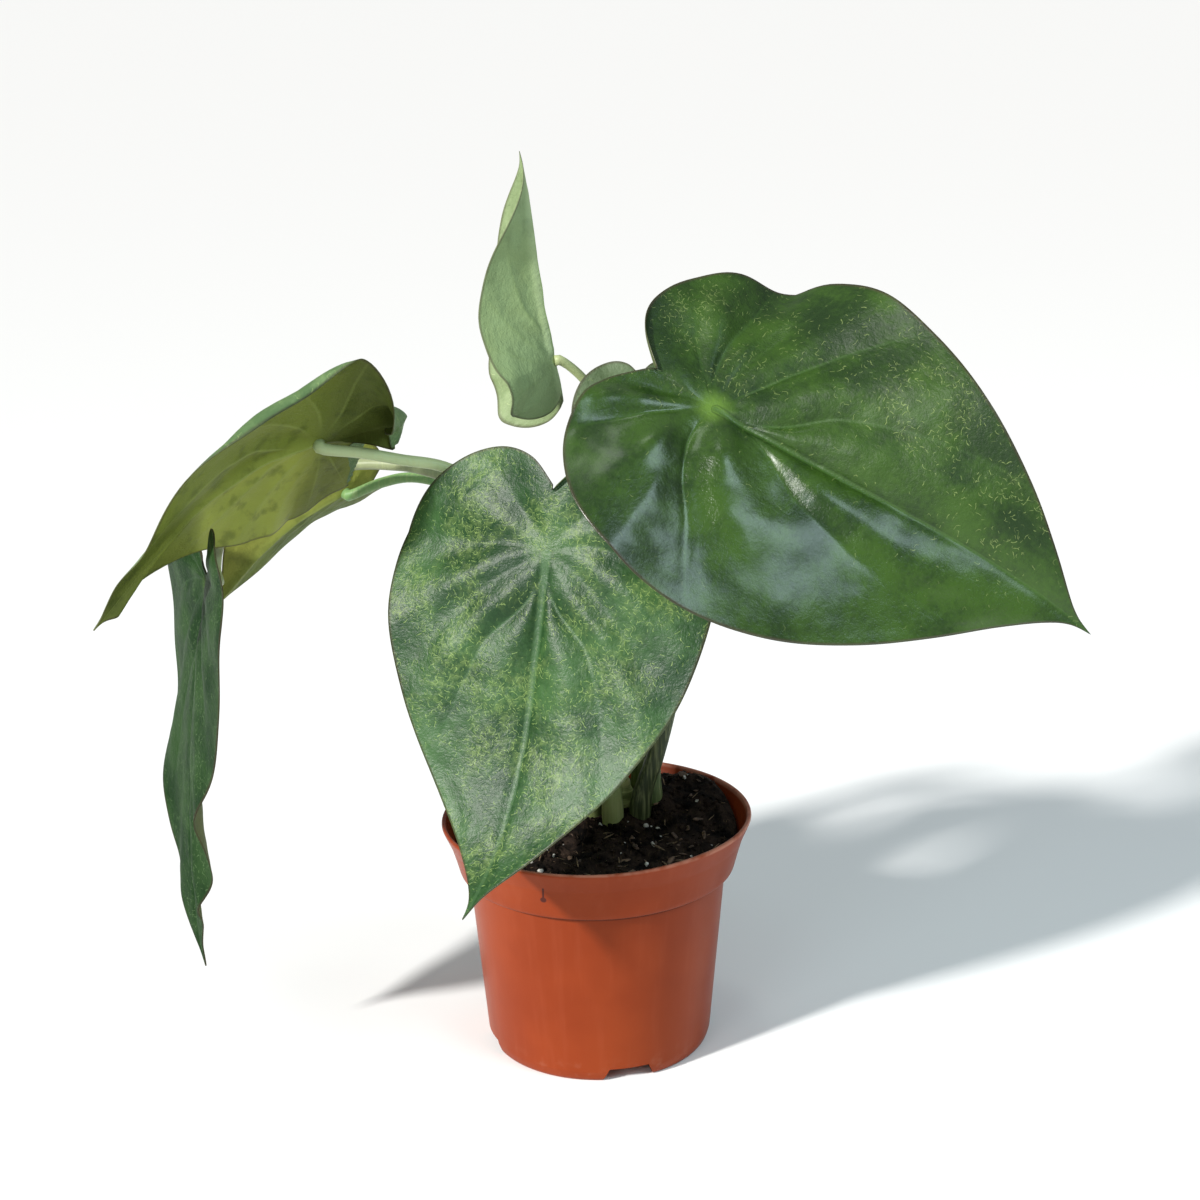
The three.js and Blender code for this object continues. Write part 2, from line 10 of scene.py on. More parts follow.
import bmesh
import bpy
import numpy as np
from bpy.props import FloatProperty, FloatVectorProperty, IntProperty, PointerProperty
from mathutils import Matrix, Vector, noise


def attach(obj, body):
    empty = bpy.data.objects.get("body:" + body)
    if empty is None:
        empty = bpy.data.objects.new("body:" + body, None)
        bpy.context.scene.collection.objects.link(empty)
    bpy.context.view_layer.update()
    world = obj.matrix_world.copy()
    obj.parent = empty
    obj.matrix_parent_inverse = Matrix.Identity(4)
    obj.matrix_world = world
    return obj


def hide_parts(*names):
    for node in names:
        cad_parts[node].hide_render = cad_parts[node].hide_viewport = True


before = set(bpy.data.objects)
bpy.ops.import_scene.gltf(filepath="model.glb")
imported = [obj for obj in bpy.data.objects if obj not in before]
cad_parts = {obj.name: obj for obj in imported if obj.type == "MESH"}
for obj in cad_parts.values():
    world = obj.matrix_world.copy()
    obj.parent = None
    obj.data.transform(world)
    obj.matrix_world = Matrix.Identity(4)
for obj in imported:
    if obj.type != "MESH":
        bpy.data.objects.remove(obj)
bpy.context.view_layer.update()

bl_info = {
    "name": "Potted alocasia",
    "version": (1, 0, 0),
    "blender": (4, 5, 0),
    "location": "View3D > Sidebar > Alocasia",
    "description": "Builds a potted alocasia cucullata over its packed frame",
    "category": "Object",
}

MM = 0.001
BODY = "root"
# Where the pot's axis stands in the frame
POT_AXIS = np.array([2.8, 15.2, 0.0])

# The pot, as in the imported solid
FOOT_RADIUS = 42.0
FOOT_RING = 2.6
WALL_FOOT_RADIUS = 43.8
WALL_TOP_RADIUS = 49.8
BAND_RADIUS = 53.6
RIM_RADIUS = 60.0
POT_HEIGHT = 92.4
BAND_HEIGHT = 71.6
FLARE_HEIGHT = 78.0
POT_WALL = 1.6
FLOOR_BOTTOM = 6.0
FLOOR_TOP = 7.6
NOTCH = {"count": 4, "first": -75, "wide": 21.0, "narrow": 15.5, "height": 5.4}
DRAIN = {"count": 5, "ring": 24.0, "radius": 3.5}
DENT = {"depth": 1.6, "at": -50, "spread": 28}
RIM_LIFT = 0.9
# The marks on its plastic, and the painted shade under the band's step, in the order in which they lie: how
# strong, and what colour
POT_MARKS_AND_SHADE = {
    "dust": (0.18, (0.5, 0.3, 0.22)), "wear": (0.55, (0.56, 0.26, 0.18)),
    "band_step_shade": (0.95, (0.04, 0.008, 0.004)), "specks": (0.5, (0.12, 0.05, 0.03)),
    "drip": (0.9, (0.05, 0.012, 0.01)),
}

# The soil and the crown
SOIL_EDGE = 84.5
SOIL_CROWN = 90.0
SOIL_RADIUS = 54.4
SOIL_GAP = 0.35
# The lumps of the soil's top: seed, height and width
SOIL_LUMPS = [(2, 2.6, 11), (3, 1.5, 5), (4, 0.8, 2)]
HEAP = {"x": 40, "y": 30, "height": 9.5, "spread": 24}
# Where grains lie: how far out, and how far from the middle of a stalk and of the stem
GRAIN_REACH = 51.0
STALK_CLEAR = 5.2
STEM_CLEAR = 7.5
CROWN = {"x": 9.5, "y": 12, "ring": 12}
STALK_FOOT = 68.0
STALK_BASE_RADIUS = 3.9
STEM = {"radius": 6.6, "foot": 66, "soil": 90, "top": 106}

# The blades
BLADE_HALF = 0.35
RING_CROWDING = 0.85
FULL_HALF_WIDTH = 0.42
LOBE_REACH = 0.26
LOBE_ROOT = 0.22
# Blades longer than this get all the faces that the settings ask for, and shorter ones a share of them
LARGE_BLADE = 120
SMALL_BLADE_SHARE = 0.72
# How deep the skin is grooved above its veins and how high it is raised below them
GROOVE = {"rib": 1.25, "vein": 0.75, "width": 1.5}
RIDGE = {"rib_width": 1.5, "vein": 0.4, "width": 0.8}

# Half a flat blade from its tip round to its notch, in lengths of the midrib: along it, out from it
HEART = [
    (1, 0), (0.945, 0.012), (0.89, 0.042), (0.81, 0.1), (0.69, 0.19), (0.54, 0.285), (0.37, 0.368),
    (0.19, 0.415), (0.02, 0.418), (-0.12, 0.37), (-0.215, 0.275), (-0.255, 0.165), (-0.235, 0.07),
    (-0.165, 0),
]
OPEN_HEART = HEART[:10] + [(-0.195, 0.275), (-0.215, 0.17), (-0.17, 0.09), (-0.04, 0)]
LONG_HEART = HEART[:8] + [(0.02, 0.455), (-0.09, 0.415), (-0.23, 0.32), (-0.43, 0.21), (-0.45, 0.05),
                          (-0.1, 0)]
# How far the veins turn back towards the tip on their way out, from 0 to 1
VEIN_RETURN = 0.4
# The veins on half a blade, from the midrib outwards: their angle at the junction, their angle further
# out, and how strong they are. One that starts at 0 branches off the midrib.
COMMON_VEINS = [(0, 0, 1), (0, 27, 0.8), (54, 54, 0.8), (88, 80, 0.6), (118, 110, 0.6), (141, 139, 0.5)]

# What a leaf has unless its own row says otherwise. lobes are how far each back lobe bends up, from which
# share of the length on, and how much it is stretched; join is how far under the blade its stalk's last
# bend lies.
PLAIN_LEAF = dict(
    lobes=((0, 0, 1), (0, 0, 1)), puff=0.6, waves=(), rolls=(), veins=(COMMON_VEINS, COMMON_VEINS),
    swell=(0.3, 0.3), pleats=0.5, rib=0.8, bulges=(), join=3.5,
)
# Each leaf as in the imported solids: angles in degrees at the junction, half way and at the tip, and pairs
# for its left and right half. Each wave is its half, its share of the outline from tip to notch, height and
# spread; each roll is half, share, spread, angle, and the share of the way out where it begins; each bulge is
# along, out, height and spread. stalk is its direction round the crown and its radius at the blade.
LEAVES = [{**PLAIN_LEAF, **own} for own in [
    dict(
        name="right_large", outline=HEART, slot="blade_deep_green",
        junction=(42.3, -45, 260.6), length=153, width=(1.05, 1.11),
        heading=(-18, -14, 4), pitch=(-28, -27, -42), roll=(-40, -65, -78),
        fold=((0, 14, 9), (5, 6, -3)), curl=((-14, -7, -10), (-3, -1, -7)),
        lobes=((8, 0, 1), (-4, 0, 1)), puff=2.2,
        waves=[(0, 0.565, 3.5, 0.045), (0, 0.645, -4, 0.035), (0, 0.45, -2.5, 0.05)],
        rolls=[(0, 1, 0.1, 150, 0.89)],
        veins=(
            [(0, 0, 1), (0, 26, 0.9), (57, 58, 1), (92, 84, 0.3), (121, 105, 0.8), (137, 134, 0.6)],
            [(0, 0, 1), (2, 22, 0.4), (98, 76, 1.3), (141, 141, 1), (168, 165, 0.3)],
        ),
        swell=(0.4, 1.2), pleats=0.3, rib=1.2,
        bulges=[(-0.03, 0.17, 1.5, 0.08), (-0.15, 0.2, 1.2, 0.06), (0.2, 0.15, 1.1, 0.07),
                (0.36, 0.1, 0.8, 0.07), (-0.06, -0.17, 2.2, 0.055), (0.085, -0.1, 2.4, 0.05),
                (0.16, -0.19, 1.2, 0.06), (0.02, -0.25, 1.0, 0.06), (-0.13, -0.09, 1.4, 0.04),
                (0.3, -0.12, 0.9, 0.08)],
        stalk=(-55, 2.4),
        route=[(17.6, 2.4, 98), (22.5, 2.6, 113), (28.5, 2.5, 137), (34, -3, 180), (41, -19, 225)],
        relief=1.25, seed=3,
    ),
    dict(
        name="front_large", outline=HEART, slot="blade_mid_green",
        junction=(-16, -40, 209.3), length=137, width=(1.08, 1.05),
        heading=(-117, -120, -121), pitch=(-71, -69, -26), roll=(2, 2, -7),
        fold=((-5, 0, -5), (-1, 6, -5)), curl=((-13, -9, -6), (-9, -1, -13)),
        puff=1.4,
        waves=[(1, 0.35, 1.5, 0.06), (0, 0.3, 1.5, 0.05)],
        rolls=[(0, 0.97, 0.09, 143, 0.89)],
        veins=(
            [(0, 0, 1), (0, 32, 0.8), (58, 56, 0.2), (110, 90, 0.4), (141, 139, 0.2)],
            [(0, 0, 1), (0, 32, 0.8), (56, 56, 0.2), (100, 88, 0.15), (143, 141, 0.2)],
        ),
        pleats=0.1, rib=1.9,
        bulges=[(-0.05, 0.17, 1.4, 0.07), (0.1, -0.13, 1.5, 0.07), (0.12, 0.2, 1.2, 0.08),
                (0.3, -0.2, 1.0, 0.1), (-0.1, -0.2, 1.0, 0.07), (0.34, 0.13, 0.9, 0.09)],
        stalk=(-106, 2.3),
        route=[(6.2, 0, 98), (5, -2, 130), (0, -7, 165), (-6, -16, 192)],
        relief=0.9, seed=11,
    ),
    dict(
        name="back_upright", outline=HEART, slot="blade_young_green",
        junction=(-13.2, 10, 267.6), length=77, width=(0.86, 0.82),
        heading=(-10, -14, 5), pitch=(106, 96, 101), roll=(-18, -8, -62),
        fold=((56, 50, 42), (45, 50, 40)), curl=((4, 0, -1), (9, 5, -1)),
        lobes=((70, 0, 1.2), (80, 0, 1)),
        stalk=(48, 1.7), join=1.6,
        route=[(17.5, 21, 98), (17.5, 21.5, 140), (13, 20, 190), (7, 17, 235), (-1, 14, 258)],
        relief=0.5, seed=17,
    ),
    dict(
        name="left_upper", outline=LONG_HEART, slot="blade_olive_green",
        junction=(-99.1, -10, 242.4), length=109, width=(0.98, 1.04),
        heading=(-150, -148, -177), pitch=(-1, -36, -51), roll=(-52, -42, -25),
        fold=((5, -2, 1), (5, 1, 13)), curl=((-15, -7, 0), (1, -19, 20)),
        lobes=((0, 0, 1), (0, 0, 0.62)), puff=0.8,
        waves=[(0, 0.3, -2.5, 0.05), (0, 0.43, 2, 0.06), (0, 0.57, -2, 0.05), (0, 0.69, 3.5, 0.04),
               (1, 0.12, -4, 0.05)],
        rolls=[(0, 0.55, 0.08, -165, 0.89), (0, 0.86, 0.11, -218, 0.5)],
        stalk=(-158, 2.1), join=2.4,
        route=[(-1.8, 7.4, 98), (-5, 6, 140), (-15, 5, 185), (-32, 3, 215.2), (-53, -2, 230.5),
               (-70, -6, 234.9), (-84, -10, 238.6)],
        relief=0.8, seed=23,
    ),
    dict(
        name="left_lower", outline=HEART, slot="blade_olive_green",
        junction=(-96.2, 44, 210.3), length=70, width=(0.95, 0.8),
        heading=(-162, -172, -182), pitch=(-17, -42, -49), roll=(-53, -52, -60),
        fold=((25, 25, 25), (24, 26, 21)), curl=((0, 0, 0), (-3, 1, 0)),
        stalk=(99, 2), join=1.4,
        route=[(7.5, 24.3, 98), (3, 25.5, 140), (-8, 27, 180), (-28, 29, 206), (-58, 30, 217.4),
               (-70.4, 34, 218.6), (-82, 38.5, 215.4)],
        relief=0.6, seed=29,
    ),
    dict(
        name="left_hanging", outline=OPEN_HEART, slot="blade_deep_green",
        junction=(-140.8, -19, 192.6), length=154, width=(0.86, 0.84),
        heading=(-173, -164, -148), pitch=(-82, -84, -98), roll=(7, 3, 10),
        fold=((10, 5, 2), (13, 5, 7)), curl=((-26, -12, 5), (-2, -7, -10)),
        lobes=((0, 0, 0.8), (0, 0, 0.4)), puff=1,
        waves=[(0, 0.5, -2.5, 0.05), (0, 0.4, 4.5, 0.035), (0, 0.3, -2, 0.035), (0, 0.235, 3, 0.03),
               (1, 0.47, -2, 0.05), (1, 0.37, 2, 0.04), (1, 0.27, -2.5, 0.035)],
        stalk=(151, 1.9),
        route=[(-1.4, 18, 98), (-6, 17, 145), (-20, 16, 190), (-42, 17, 216), (-64, 17, 226),
               (-76, 20, 227), (-90, 25, 226), (-106, 26, 223), (-121, 20, 219), (-135, 14, 211),
               (-140, 7, 201), (-140, -5, 194)],
        relief=0.9, seed=31,
    ),
    dict(
        name="right_small", outline=HEART, slot="blade_mid_green",
        junction=(18.2, 0, 253.8), length=60, width=(1, 1),
        heading=(-90, -90, -90), pitch=(-70, -76, -84), roll=(0, 0, 0),
        fold=((4, 6, 6), (4, 6, 6)), curl=((-12, -8, -8), (-12, -8, -8)),
        lobes=((-12, 0, 1), (-12, 0, 1)),
        stalk=(-3, 1.8),
        route=[(21.8, 11.4, 98), (22.5, 12, 150), (21.5, 12, 200), (19.5, 8, 238)],
        relief=0.5, seed=37,
    ),
]]

# Each leaf's finish, where it departs from the plain one. Colours are linear: the upper face's darkest and
# lightest green, the lower face's on either side of the midrib, the veins' and the flecks'. flecks is how
# much of either half they cover, and spots are places with more of them and a paler haze, partly a
# painted highlight: along, out and how far.
PLAIN_LOOK = dict(
    flecks=(0.3, 0.3), fleck_and_highlight_spots=(), haze=0.2, mottle=0.045, heart=0.3, stain=0.3, painted_shade_ends=0.0,
    gloss=0.42, matt=0.0, shine=0.16, coat=0.0, crinkle=1.0,
)
LOOKS = dict(
    right_large=dict(
        deep=(0.008, 0.026, 0.003), light=(0.029, 0.071, 0.006), under=((0.08, 0.13, 0.04),) * 2,
        vein=(0.045, 0.1, 0.02), fleck=(0.24, 0.3, 0.1), flecks=(0.16, 0.05), haze=0.1,
        # The first two spots lie where the blade shines: there the paler haze is painted highlight as well as
        # flecks
        fleck_and_highlight_spots=((-0.03, 0.17, 0.13), (-0.15, 0.2, 0.1), (0.45, 0.23, 0.13), (0.68, 0.12, 0.1)),
        gloss=0.24, matt=0.2, shine=0.27, coat=0.5, heart=0.75,
    ),
    front_large=dict(
        deep=(0.01, 0.038, 0.01), light=(0.042, 0.104, 0.03), under=((0.14, 0.22, 0.08),) * 2,
        vein=(0.07, 0.14, 0.06), fleck=(0.3, 0.41, 0.12), flecks=(0.66, 0.66), haze=0.28, mottle=0.03,
        gloss=0.33, shine=0.27, heart=0.1, crinkle=0.75,
    ),
    back_upright=dict(
        deep=(0.21, 0.28, 0.13), light=(0.31, 0.39, 0.2), under=((0.47, 0.57, 0.34), (0.2, 0.28, 0.13)),
        vein=(0.17, 0.24, 0.09), fleck=(0.5, 0.58, 0.3), flecks=(0.2, 0.2), stain=0.2, shine=0.2,
    ),
    left_upper=dict(
        # left_upper's lower face is painted: its right half lighter as light shining through the blade, its
        # left half darker as shade
        deep=(0.08, 0.14, 0.055), light=(0.16, 0.24, 0.1), under=((0.15, 0.185, 0.026), (0.3, 0.34, 0.06)),
        # Its darkened ends are painted shade.
        vein=(0.26, 0.31, 0.08), fleck=(0.3, 0.38, 0.14), stain=0.4, painted_shade_ends=0.6,
    ),
    left_lower=dict(
        deep=(0.05, 0.11, 0.025), light=(0.11, 0.2, 0.06), under=((0.25, 0.27, 0.05), (0.12, 0.17, 0.04)),
        vein=(0.24, 0.28, 0.08), fleck=(0.3, 0.36, 0.1), stain=0.35,
    ),
    left_hanging=dict(
        deep=(0.007, 0.025, 0.006), light=(0.021, 0.052, 0.014),
        under=((0.085, 0.105, 0.045), (0.095, 0.085, 0.045)), vein=(0.04, 0.08, 0.035),
        fleck=(0.14, 0.22, 0.1), flecks=(0.4, 0.4), haze=0.07, gloss=0.46, shine=0.06,
    ),
    right_small=dict(
        deep=(0.065, 0.1, 0.045), light=(0.12, 0.17, 0.09), under=((0.12, 0.17, 0.08),) * 2,
        vein=(0.09, 0.13, 0.06), fleck=(0.2, 0.26, 0.1), flecks=(0.2, 0.2),
    ),
)
# Colours of the blotches on a lower face. The darker one also paints shade on the ends of left_upper's lower
# face.
YELLOWED = (0.2, 0.23, 0.05)
DARK_BLOTCH_AND_SHADE = (0.03, 0.045, 0.01)

# Each stalk's colours, at its foot and at its blade, and how pale its foot is. right_large's near-black foot
# colour is painted shade.
STALK_LOOKS = {
    "right_large": ((0.02, 0.034, 0.009), (0.06, 0.1, 0.025), 0.04),
    "front_large": ((0.2, 0.26, 0.09), (0.16, 0.25, 0.08), 0.85),
    "back_upright": ((0.1, 0.15, 0.045), (0.36, 0.42, 0.2), 0.25),
    "left_upper": ((0.13, 0.19, 0.06), (0.42, 0.5, 0.26), 0.35),
    "left_lower": ((0.1, 0.17, 0.05), (0.17, 0.31, 0.11), 0.25),
    "left_hanging": ((0.11, 0.16, 0.05), (0.28, 0.31, 0.17), 0.25),
    "right_small": ((0.07, 0.12, 0.035), (0.22, 0.32, 0.12), 0.1),
}

# The studio: half the floor's width and the height that the panels face, in metres, the main light's spread
# in degrees, and the soft panels: two directions in degrees, distance, width, height and tint
FLOOR_HALF = 60.0
AIM_HEIGHT = 0.17
SUN_SPREAD = 5
PANELS = [
    ("right_panel", -42, 41, 1.3, 0.64, 0.42, (0.85, 1.1, 1.2)),
    ("left_panel", -118, 20, 1.5, 0.5, 0.3, (0.8, 0.96, 1.0)),
    ("overhead_panel", 128, 86, 1.3, 0.22, 0.22, (0.95, 1.0, 0.95)),
]


def maths(operation, swap=False):
    """A method of Value that adds one Math node."""
    def apply(first, *others):
        terms = [first, *others]
        if swap:
            terms.reverse()
        made = first.paint.node("ShaderNodeMath", {"operation": operation}, *terms)
        return Value(first.paint, made.outputs[0])
    return apply


class Value:
    """A number that varies over a surface: the output of a material's node, used in Python sums."""

    __add__ = maths("ADD")
    __radd__ = maths("ADD", swap=True)
    __sub__ = maths("SUBTRACT")
    __rsub__ = maths("SUBTRACT", swap=True)
    __mul__ = maths("MULTIPLY")
    __rmul__ = maths("MULTIPLY", swap=True)
    __truediv__ = maths("DIVIDE")
    __pow__ = maths("POWER")
    __abs__ = maths("ABSOLUTE")
    larger = maths("MAXIMUM")
    smaller = maths("MINIMUM")
    nearest = maths("ROUND")
    cosine = maths("COSINE")
    sine = maths("SINE")

    def __init__(self, paint, socket):
        self.paint = paint
        self.socket = socket

    def rise(self, low, high):
        """0 at low, 1 at high, smooth between."""
        made = self.paint.node("ShaderNodeMapRange", {"interpolation_type": "SMOOTHSTEP"}, self, low, high)
        return Value(self.paint, made.outputs[0])

class Paint:
    """The node tree of one material."""

    def __init__(self, name):
        self.material = bpy.data.materials.new(name)
        self.material.use_nodes = True
        self.tree = self.material.node_tree
        self.tree.nodes.clear()

    def feed(self, socket, value):
        if isinstance(value, Value):
            value = value.socket
        if isinstance(value, bpy.types.NodeSocket):
            self.tree.links.new(value, socket)
        elif isinstance(value, tuple) and len(value) == 3 and socket.type == "RGBA":
            socket.default_value = (*value, 1.0)
        else:
            socket.default_value = value

    def node(self, kind, settings=None, *terms, **sockets):
        """Adds a node: its settings first, then its sockets, in order or by name with _ for a space."""
        made = self.tree.nodes.new(kind)
        for key, value in (settings or {}).items():
            setattr(made, key, value)
        for index, value in enumerate(terms):
            if value is not None:
                self.feed(made.inputs[index], value)
        for key, value in sockets.items():
            self.feed(made.inputs[key.replace("_", " ")], value)
        return made

    def field(self, name):
        """A named field of the mesh: (number, vector)."""
        made = self.node("ShaderNodeAttribute", {"attribute_name": name})
        return Value(self, made.outputs["Fac"]), made.outputs["Vector"]

    def split(self, vector):
        made = self.node("ShaderNodeSeparateXYZ", None, vector)
        return [Value(self, made.outputs[i]) for i in range(3)]

    def place(self):
        return self.node("ShaderNodeTexCoord").outputs["Object"]

    def vectors(self, operation, *terms, **sockets):
        """A sum of vectors, by one Vector Math node."""
        return self.node("ShaderNodeVectorMath", {"operation": operation}, *terms, **sockets).outputs[0]

    def jostled(self, vector, scale, amount):
        """The vector pushed about by a coloured noise, which has its middle at a half."""
        made = self.node("ShaderNodeTexNoise", None, Vector=vector, Scale=scale, Detail=2.0)
        centred = self.vectors("SUBTRACT", made.outputs["Color"], (0.5, 0.5, 0.5))
        return self.vectors("ADD", vector, self.vectors("SCALE", centred, Scale=amount))

    def noise(self, vector, scale, detail=3.0, roughness=0.55):
        made = self.node("ShaderNodeTexNoise", None, Vector=vector, Scale=scale, Detail=detail,
                         Roughness=roughness)
        return Value(self, made.outputs["Fac"])

    def cells(self, vector, scale):
        made = self.node("ShaderNodeTexVoronoi", None, Vector=vector, Scale=scale)
        return Value(self, made.outputs["Distance"])

    def mix(self, factor, first, second):
        """The first colour, turned into the second as the factor goes from 0 to 1."""
        made = self.node("ShaderNodeMix", {"data_type": "RGBA", "clamp_factor": True})
        for index, value in ((0, factor), (6, first), (7, second)):
            self.feed(made.inputs[index], value)
        return made.outputs[2]

    def bump(self, height, distance, strength=1.0):
        made = self.node("ShaderNodeBump", None, Height=height, Distance=distance, Strength=strength)
        return made.outputs[0]

    def finish(self, **sockets):
        shader = self.node("ShaderNodeBsdfPrincipled", None, **sockets)
        self.node("ShaderNodeOutputMaterial", None, shader.outputs[0])
        return self.material


def in_frame(points):
    """Millimetres round the pot's axis to metres in the frame."""
    return (np.asarray(points, float) + POT_AXIS) * MM


def new_object(name, data):
    made = bpy.data.objects.new(name, data)
    bpy.context.scene.collection.objects.link(made)
    return made


def new_mesh(name, points, faces):
    mesh = bpy.data.meshes.new(name)
    mesh.from_pydata(np.asarray(points).tolist(), [], faces)
    return mesh


def make_piece(name, points, faces, material, node=None, fields=None, smooth=True):
    """A mesh piece in place, riding on the body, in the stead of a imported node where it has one."""
    mesh = new_mesh(name, points, faces)
    for key, values in (fields or {}).items():
        kind, holder = ("FLOAT_VECTOR", "vector") if values.ndim == 2 else ("FLOAT", "value")
        made = mesh.attributes.new(key, kind, "POINT")
        made.data.foreach_set(holder, values.astype(np.float32).ravel())
    if smooth:
        mesh.polygons.foreach_set("use_smooth", [True] * len(mesh.polygons))
    mesh.update()
    mesh.materials.append(material)
    piece = new_object(name, mesh)
    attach(piece, BODY)
    if node:
        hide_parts(node)
    return piece


def smooth_step(low, high, value):
    share = np.clip((value - low) / (high - low), 0, 1)
    return share * share * (3 - 2 * share)


def along(values, share):
    """A smooth value through the three given at the junction, half way and at the tip."""
    s = np.clip(share, 0, 1)
    return values[0] * (1 - s) * (1 - 2 * s) + values[1] * 4 * s * (1 - s) + values[2] * s * (2 * s - 1)
def by_half(half, pair):
    """The first of a pair on the left half of a blade, the second on the right."""
    return np.where(half == 0, pair[0], pair[1])

def rib_frame(leaf, share):
    """The midrib's own frame: ahead, up out of the blade, and to the left."""
    heading = np.radians(along(leaf["heading"], share))
    pitch = np.radians(along(leaf["pitch"], share))
    roll = np.radians(along(leaf["roll"], share))[..., None]
    ahead = np.stack([np.cos(pitch) * np.cos(heading), np.cos(pitch) * np.sin(heading), np.sin(pitch)], -1)
    rise = np.stack([-np.sin(pitch) * np.cos(heading), -np.sin(pitch) * np.sin(heading), np.cos(pitch)], -1)
    side = np.cross(rise, ahead)
    up = rise * np.cos(roll) + side * np.sin(roll)
    left = side * np.cos(roll) - rise * np.sin(roll)
    return ahead, up, left


class Blade:
    """The form of one leaf blade, for arrays of places on it."""

    # The midrib's step as a share of the length, its steps behind the junction, and the parts of its bend
    STEP = 0.01
    BACK = 30
    PARTS = 16

    def __init__(self, leaf):
        self.leaf = leaf
        start = np.array(leaf["junction"], float)
        ahead = self.STEP * leaf["length"] * rib_frame(leaf, (np.arange(100) + 0.5) * self.STEP)[0]
        back = self.STEP * leaf["length"] * rib_frame(leaf, -(np.arange(self.BACK) + 0.5) * self.STEP)[0]
        forward = start + np.cumsum(ahead, 0)
        behind = start - np.cumsum(back, 0)
        self.rib_points = np.concatenate([behind[::-1], start[None], forward])

    def rib(self, share):
        index = np.clip(share / self.STEP, -self.BACK, 100) + self.BACK
        low = np.minimum(np.floor(index).astype(int), len(self.rib_points) - 2)
        part = (index - low)[..., None]
        return self.rib_points[low] * (1 - part) + self.rib_points[low + 1] * part

    def edge(self, place):
        """The flat outline at shares from the tip to the notch: an even spline through its points."""
        points = np.array(self.leaf["outline"], float)
        last = len(points) - 1
        index = np.clip(np.asarray(place) * last, 0, last)
        low = np.minimum(np.floor(index).astype(int), last)
        part = (index - low)[..., None]
        p0 = points[np.maximum(low - 1, 0)]
        p1 = points[low]
        p2 = points[np.minimum(low + 1, last)]
        p3 = points[np.minimum(low + 2, last)]
        v0 = (p2 - p0) / 2
        v1 = (p3 - p1) / 2
        return ((2 * p1 - 2 * p2 + v0 + v1) * part ** 3 + (3 * p2 - 3 * p1 - 2 * v0 - v1) * part ** 2
                + v0 * part + p1)

    def puff(self, a, b, half):
        """How far the blade swells between its veins."""
        count, spacing, _ = self.veins(a, b, half)
        reach = np.hypot(a, b) / 0.24
        near = np.hypot(a, b) / 0.13
        swell = by_half(half, self.leaf["swell"])
        height = self.leaf["puff"] * reach * np.exp(1 - reach) + swell * near * np.exp(1 - near)
        height = height * np.sin(np.pi * count) ** 2 * smooth_step(0, 20, spacing)
        side = by_half(half, (np.abs(b), -np.abs(b)))
        for at, out, rise, spread in self.leaf["bulges"]:
            height = height + rise * np.exp(-((a - at) ** 2 + (side - out) ** 2) / spread ** 2)
        return height

    def open_point(self, a, b, half, place, reach):
        """Places in space for places on the flat blade, before any margin is rolled."""
        leaf = self.leaf
        ahead, up, left = rib_frame(leaf, a)
        out = np.abs(b) * by_half(half, leaf["width"])
        fold = np.radians(by_half(half, [along(values, a) for values in leaf["fold"]]))
        curl = np.radians(by_half(half, [along(values, a) for values in leaf["curl"]]))
        across = np.zeros_like(out)
        lift = np.zeros_like(out)
        for i in range(self.PARTS):
            angle = fold + curl * out * (i + 0.5) / self.PARTS / FULL_HALF_WIDTH
            across += np.cos(angle) * out / self.PARTS
            lift += np.sin(angle) * out / self.PARTS
        sign = by_half(half, (1.0, -1.0))
        length = leaf["length"]
        point = self.rib(a) + left * (sign * across * length)[..., None] + up * (lift * length)[..., None]
        for k in (0, 1):
            bend, start, stretch = leaf["lobes"][k]
            behind = (half == k) & (a < 0)
            shift = np.where(behind, length * a * (stretch - 1), 0)
            point = point + ahead * shift[..., None]
            if bend:
                past = np.where(behind, np.maximum(-a * stretch - start, 0), 0)
                share = np.clip(np.abs(b) / LOBE_ROOT, 0.1, 1)
                radius = (LOBE_REACH * stretch - start) / math.radians(abs(bend)) / share
                turn = past / radius
                point = point + ahead * (length * (past - radius * np.sin(turn)))[..., None]
                lifted = length * math.copysign(1, bend) * radius * (1 - np.cos(turn))
                point = point + up * lifted[..., None]
        wave = self.puff(a, b, half)
        for side, at, height, spread in leaf["waves"]:
            rise = height * reach ** 3 * np.exp(-((place - at) / spread) ** 2)
            wave = wave + np.where(half == side, rise, 0)
        return point + up * wave[..., None]

    def point(self, half, place, reach):
        """Places in space, with each rolled margin turned over in an even curve."""
        leaf = self.leaf
        edge = self.edge(place)
        a = edge[..., 0] * reach
        b = edge[..., 1] * reach
        flat = self.open_point(a, b, half, place, reach)
        up = rib_frame(leaf, a)[1]
        point = flat
        for side, at, spread, angle, begin in leaf["rolls"]:
            past = np.clip((reach - begin) / (1 - begin), 0, 1)
            turn = math.radians(angle) * past * np.exp(-((place - at) / spread) ** 2)
            rolled = (half == side) & (np.abs(turn) > 1e-3)
            turn = np.where(rolled, turn, 1e-3)
            inner = edge * begin
            start = self.open_point(inner[..., 0], inner[..., 1], half, place, np.full_like(a, begin))
            outward = flat - start
            distance = np.linalg.norm(outward, axis=-1)
            shift = outward * (np.sin(turn) / turn - 1)[..., None]
            shift = shift + up * (distance * (1 - np.cos(turn)) / turn)[..., None]
            point = point + np.where(rolled[..., None], shift, 0)
        return point, a, b

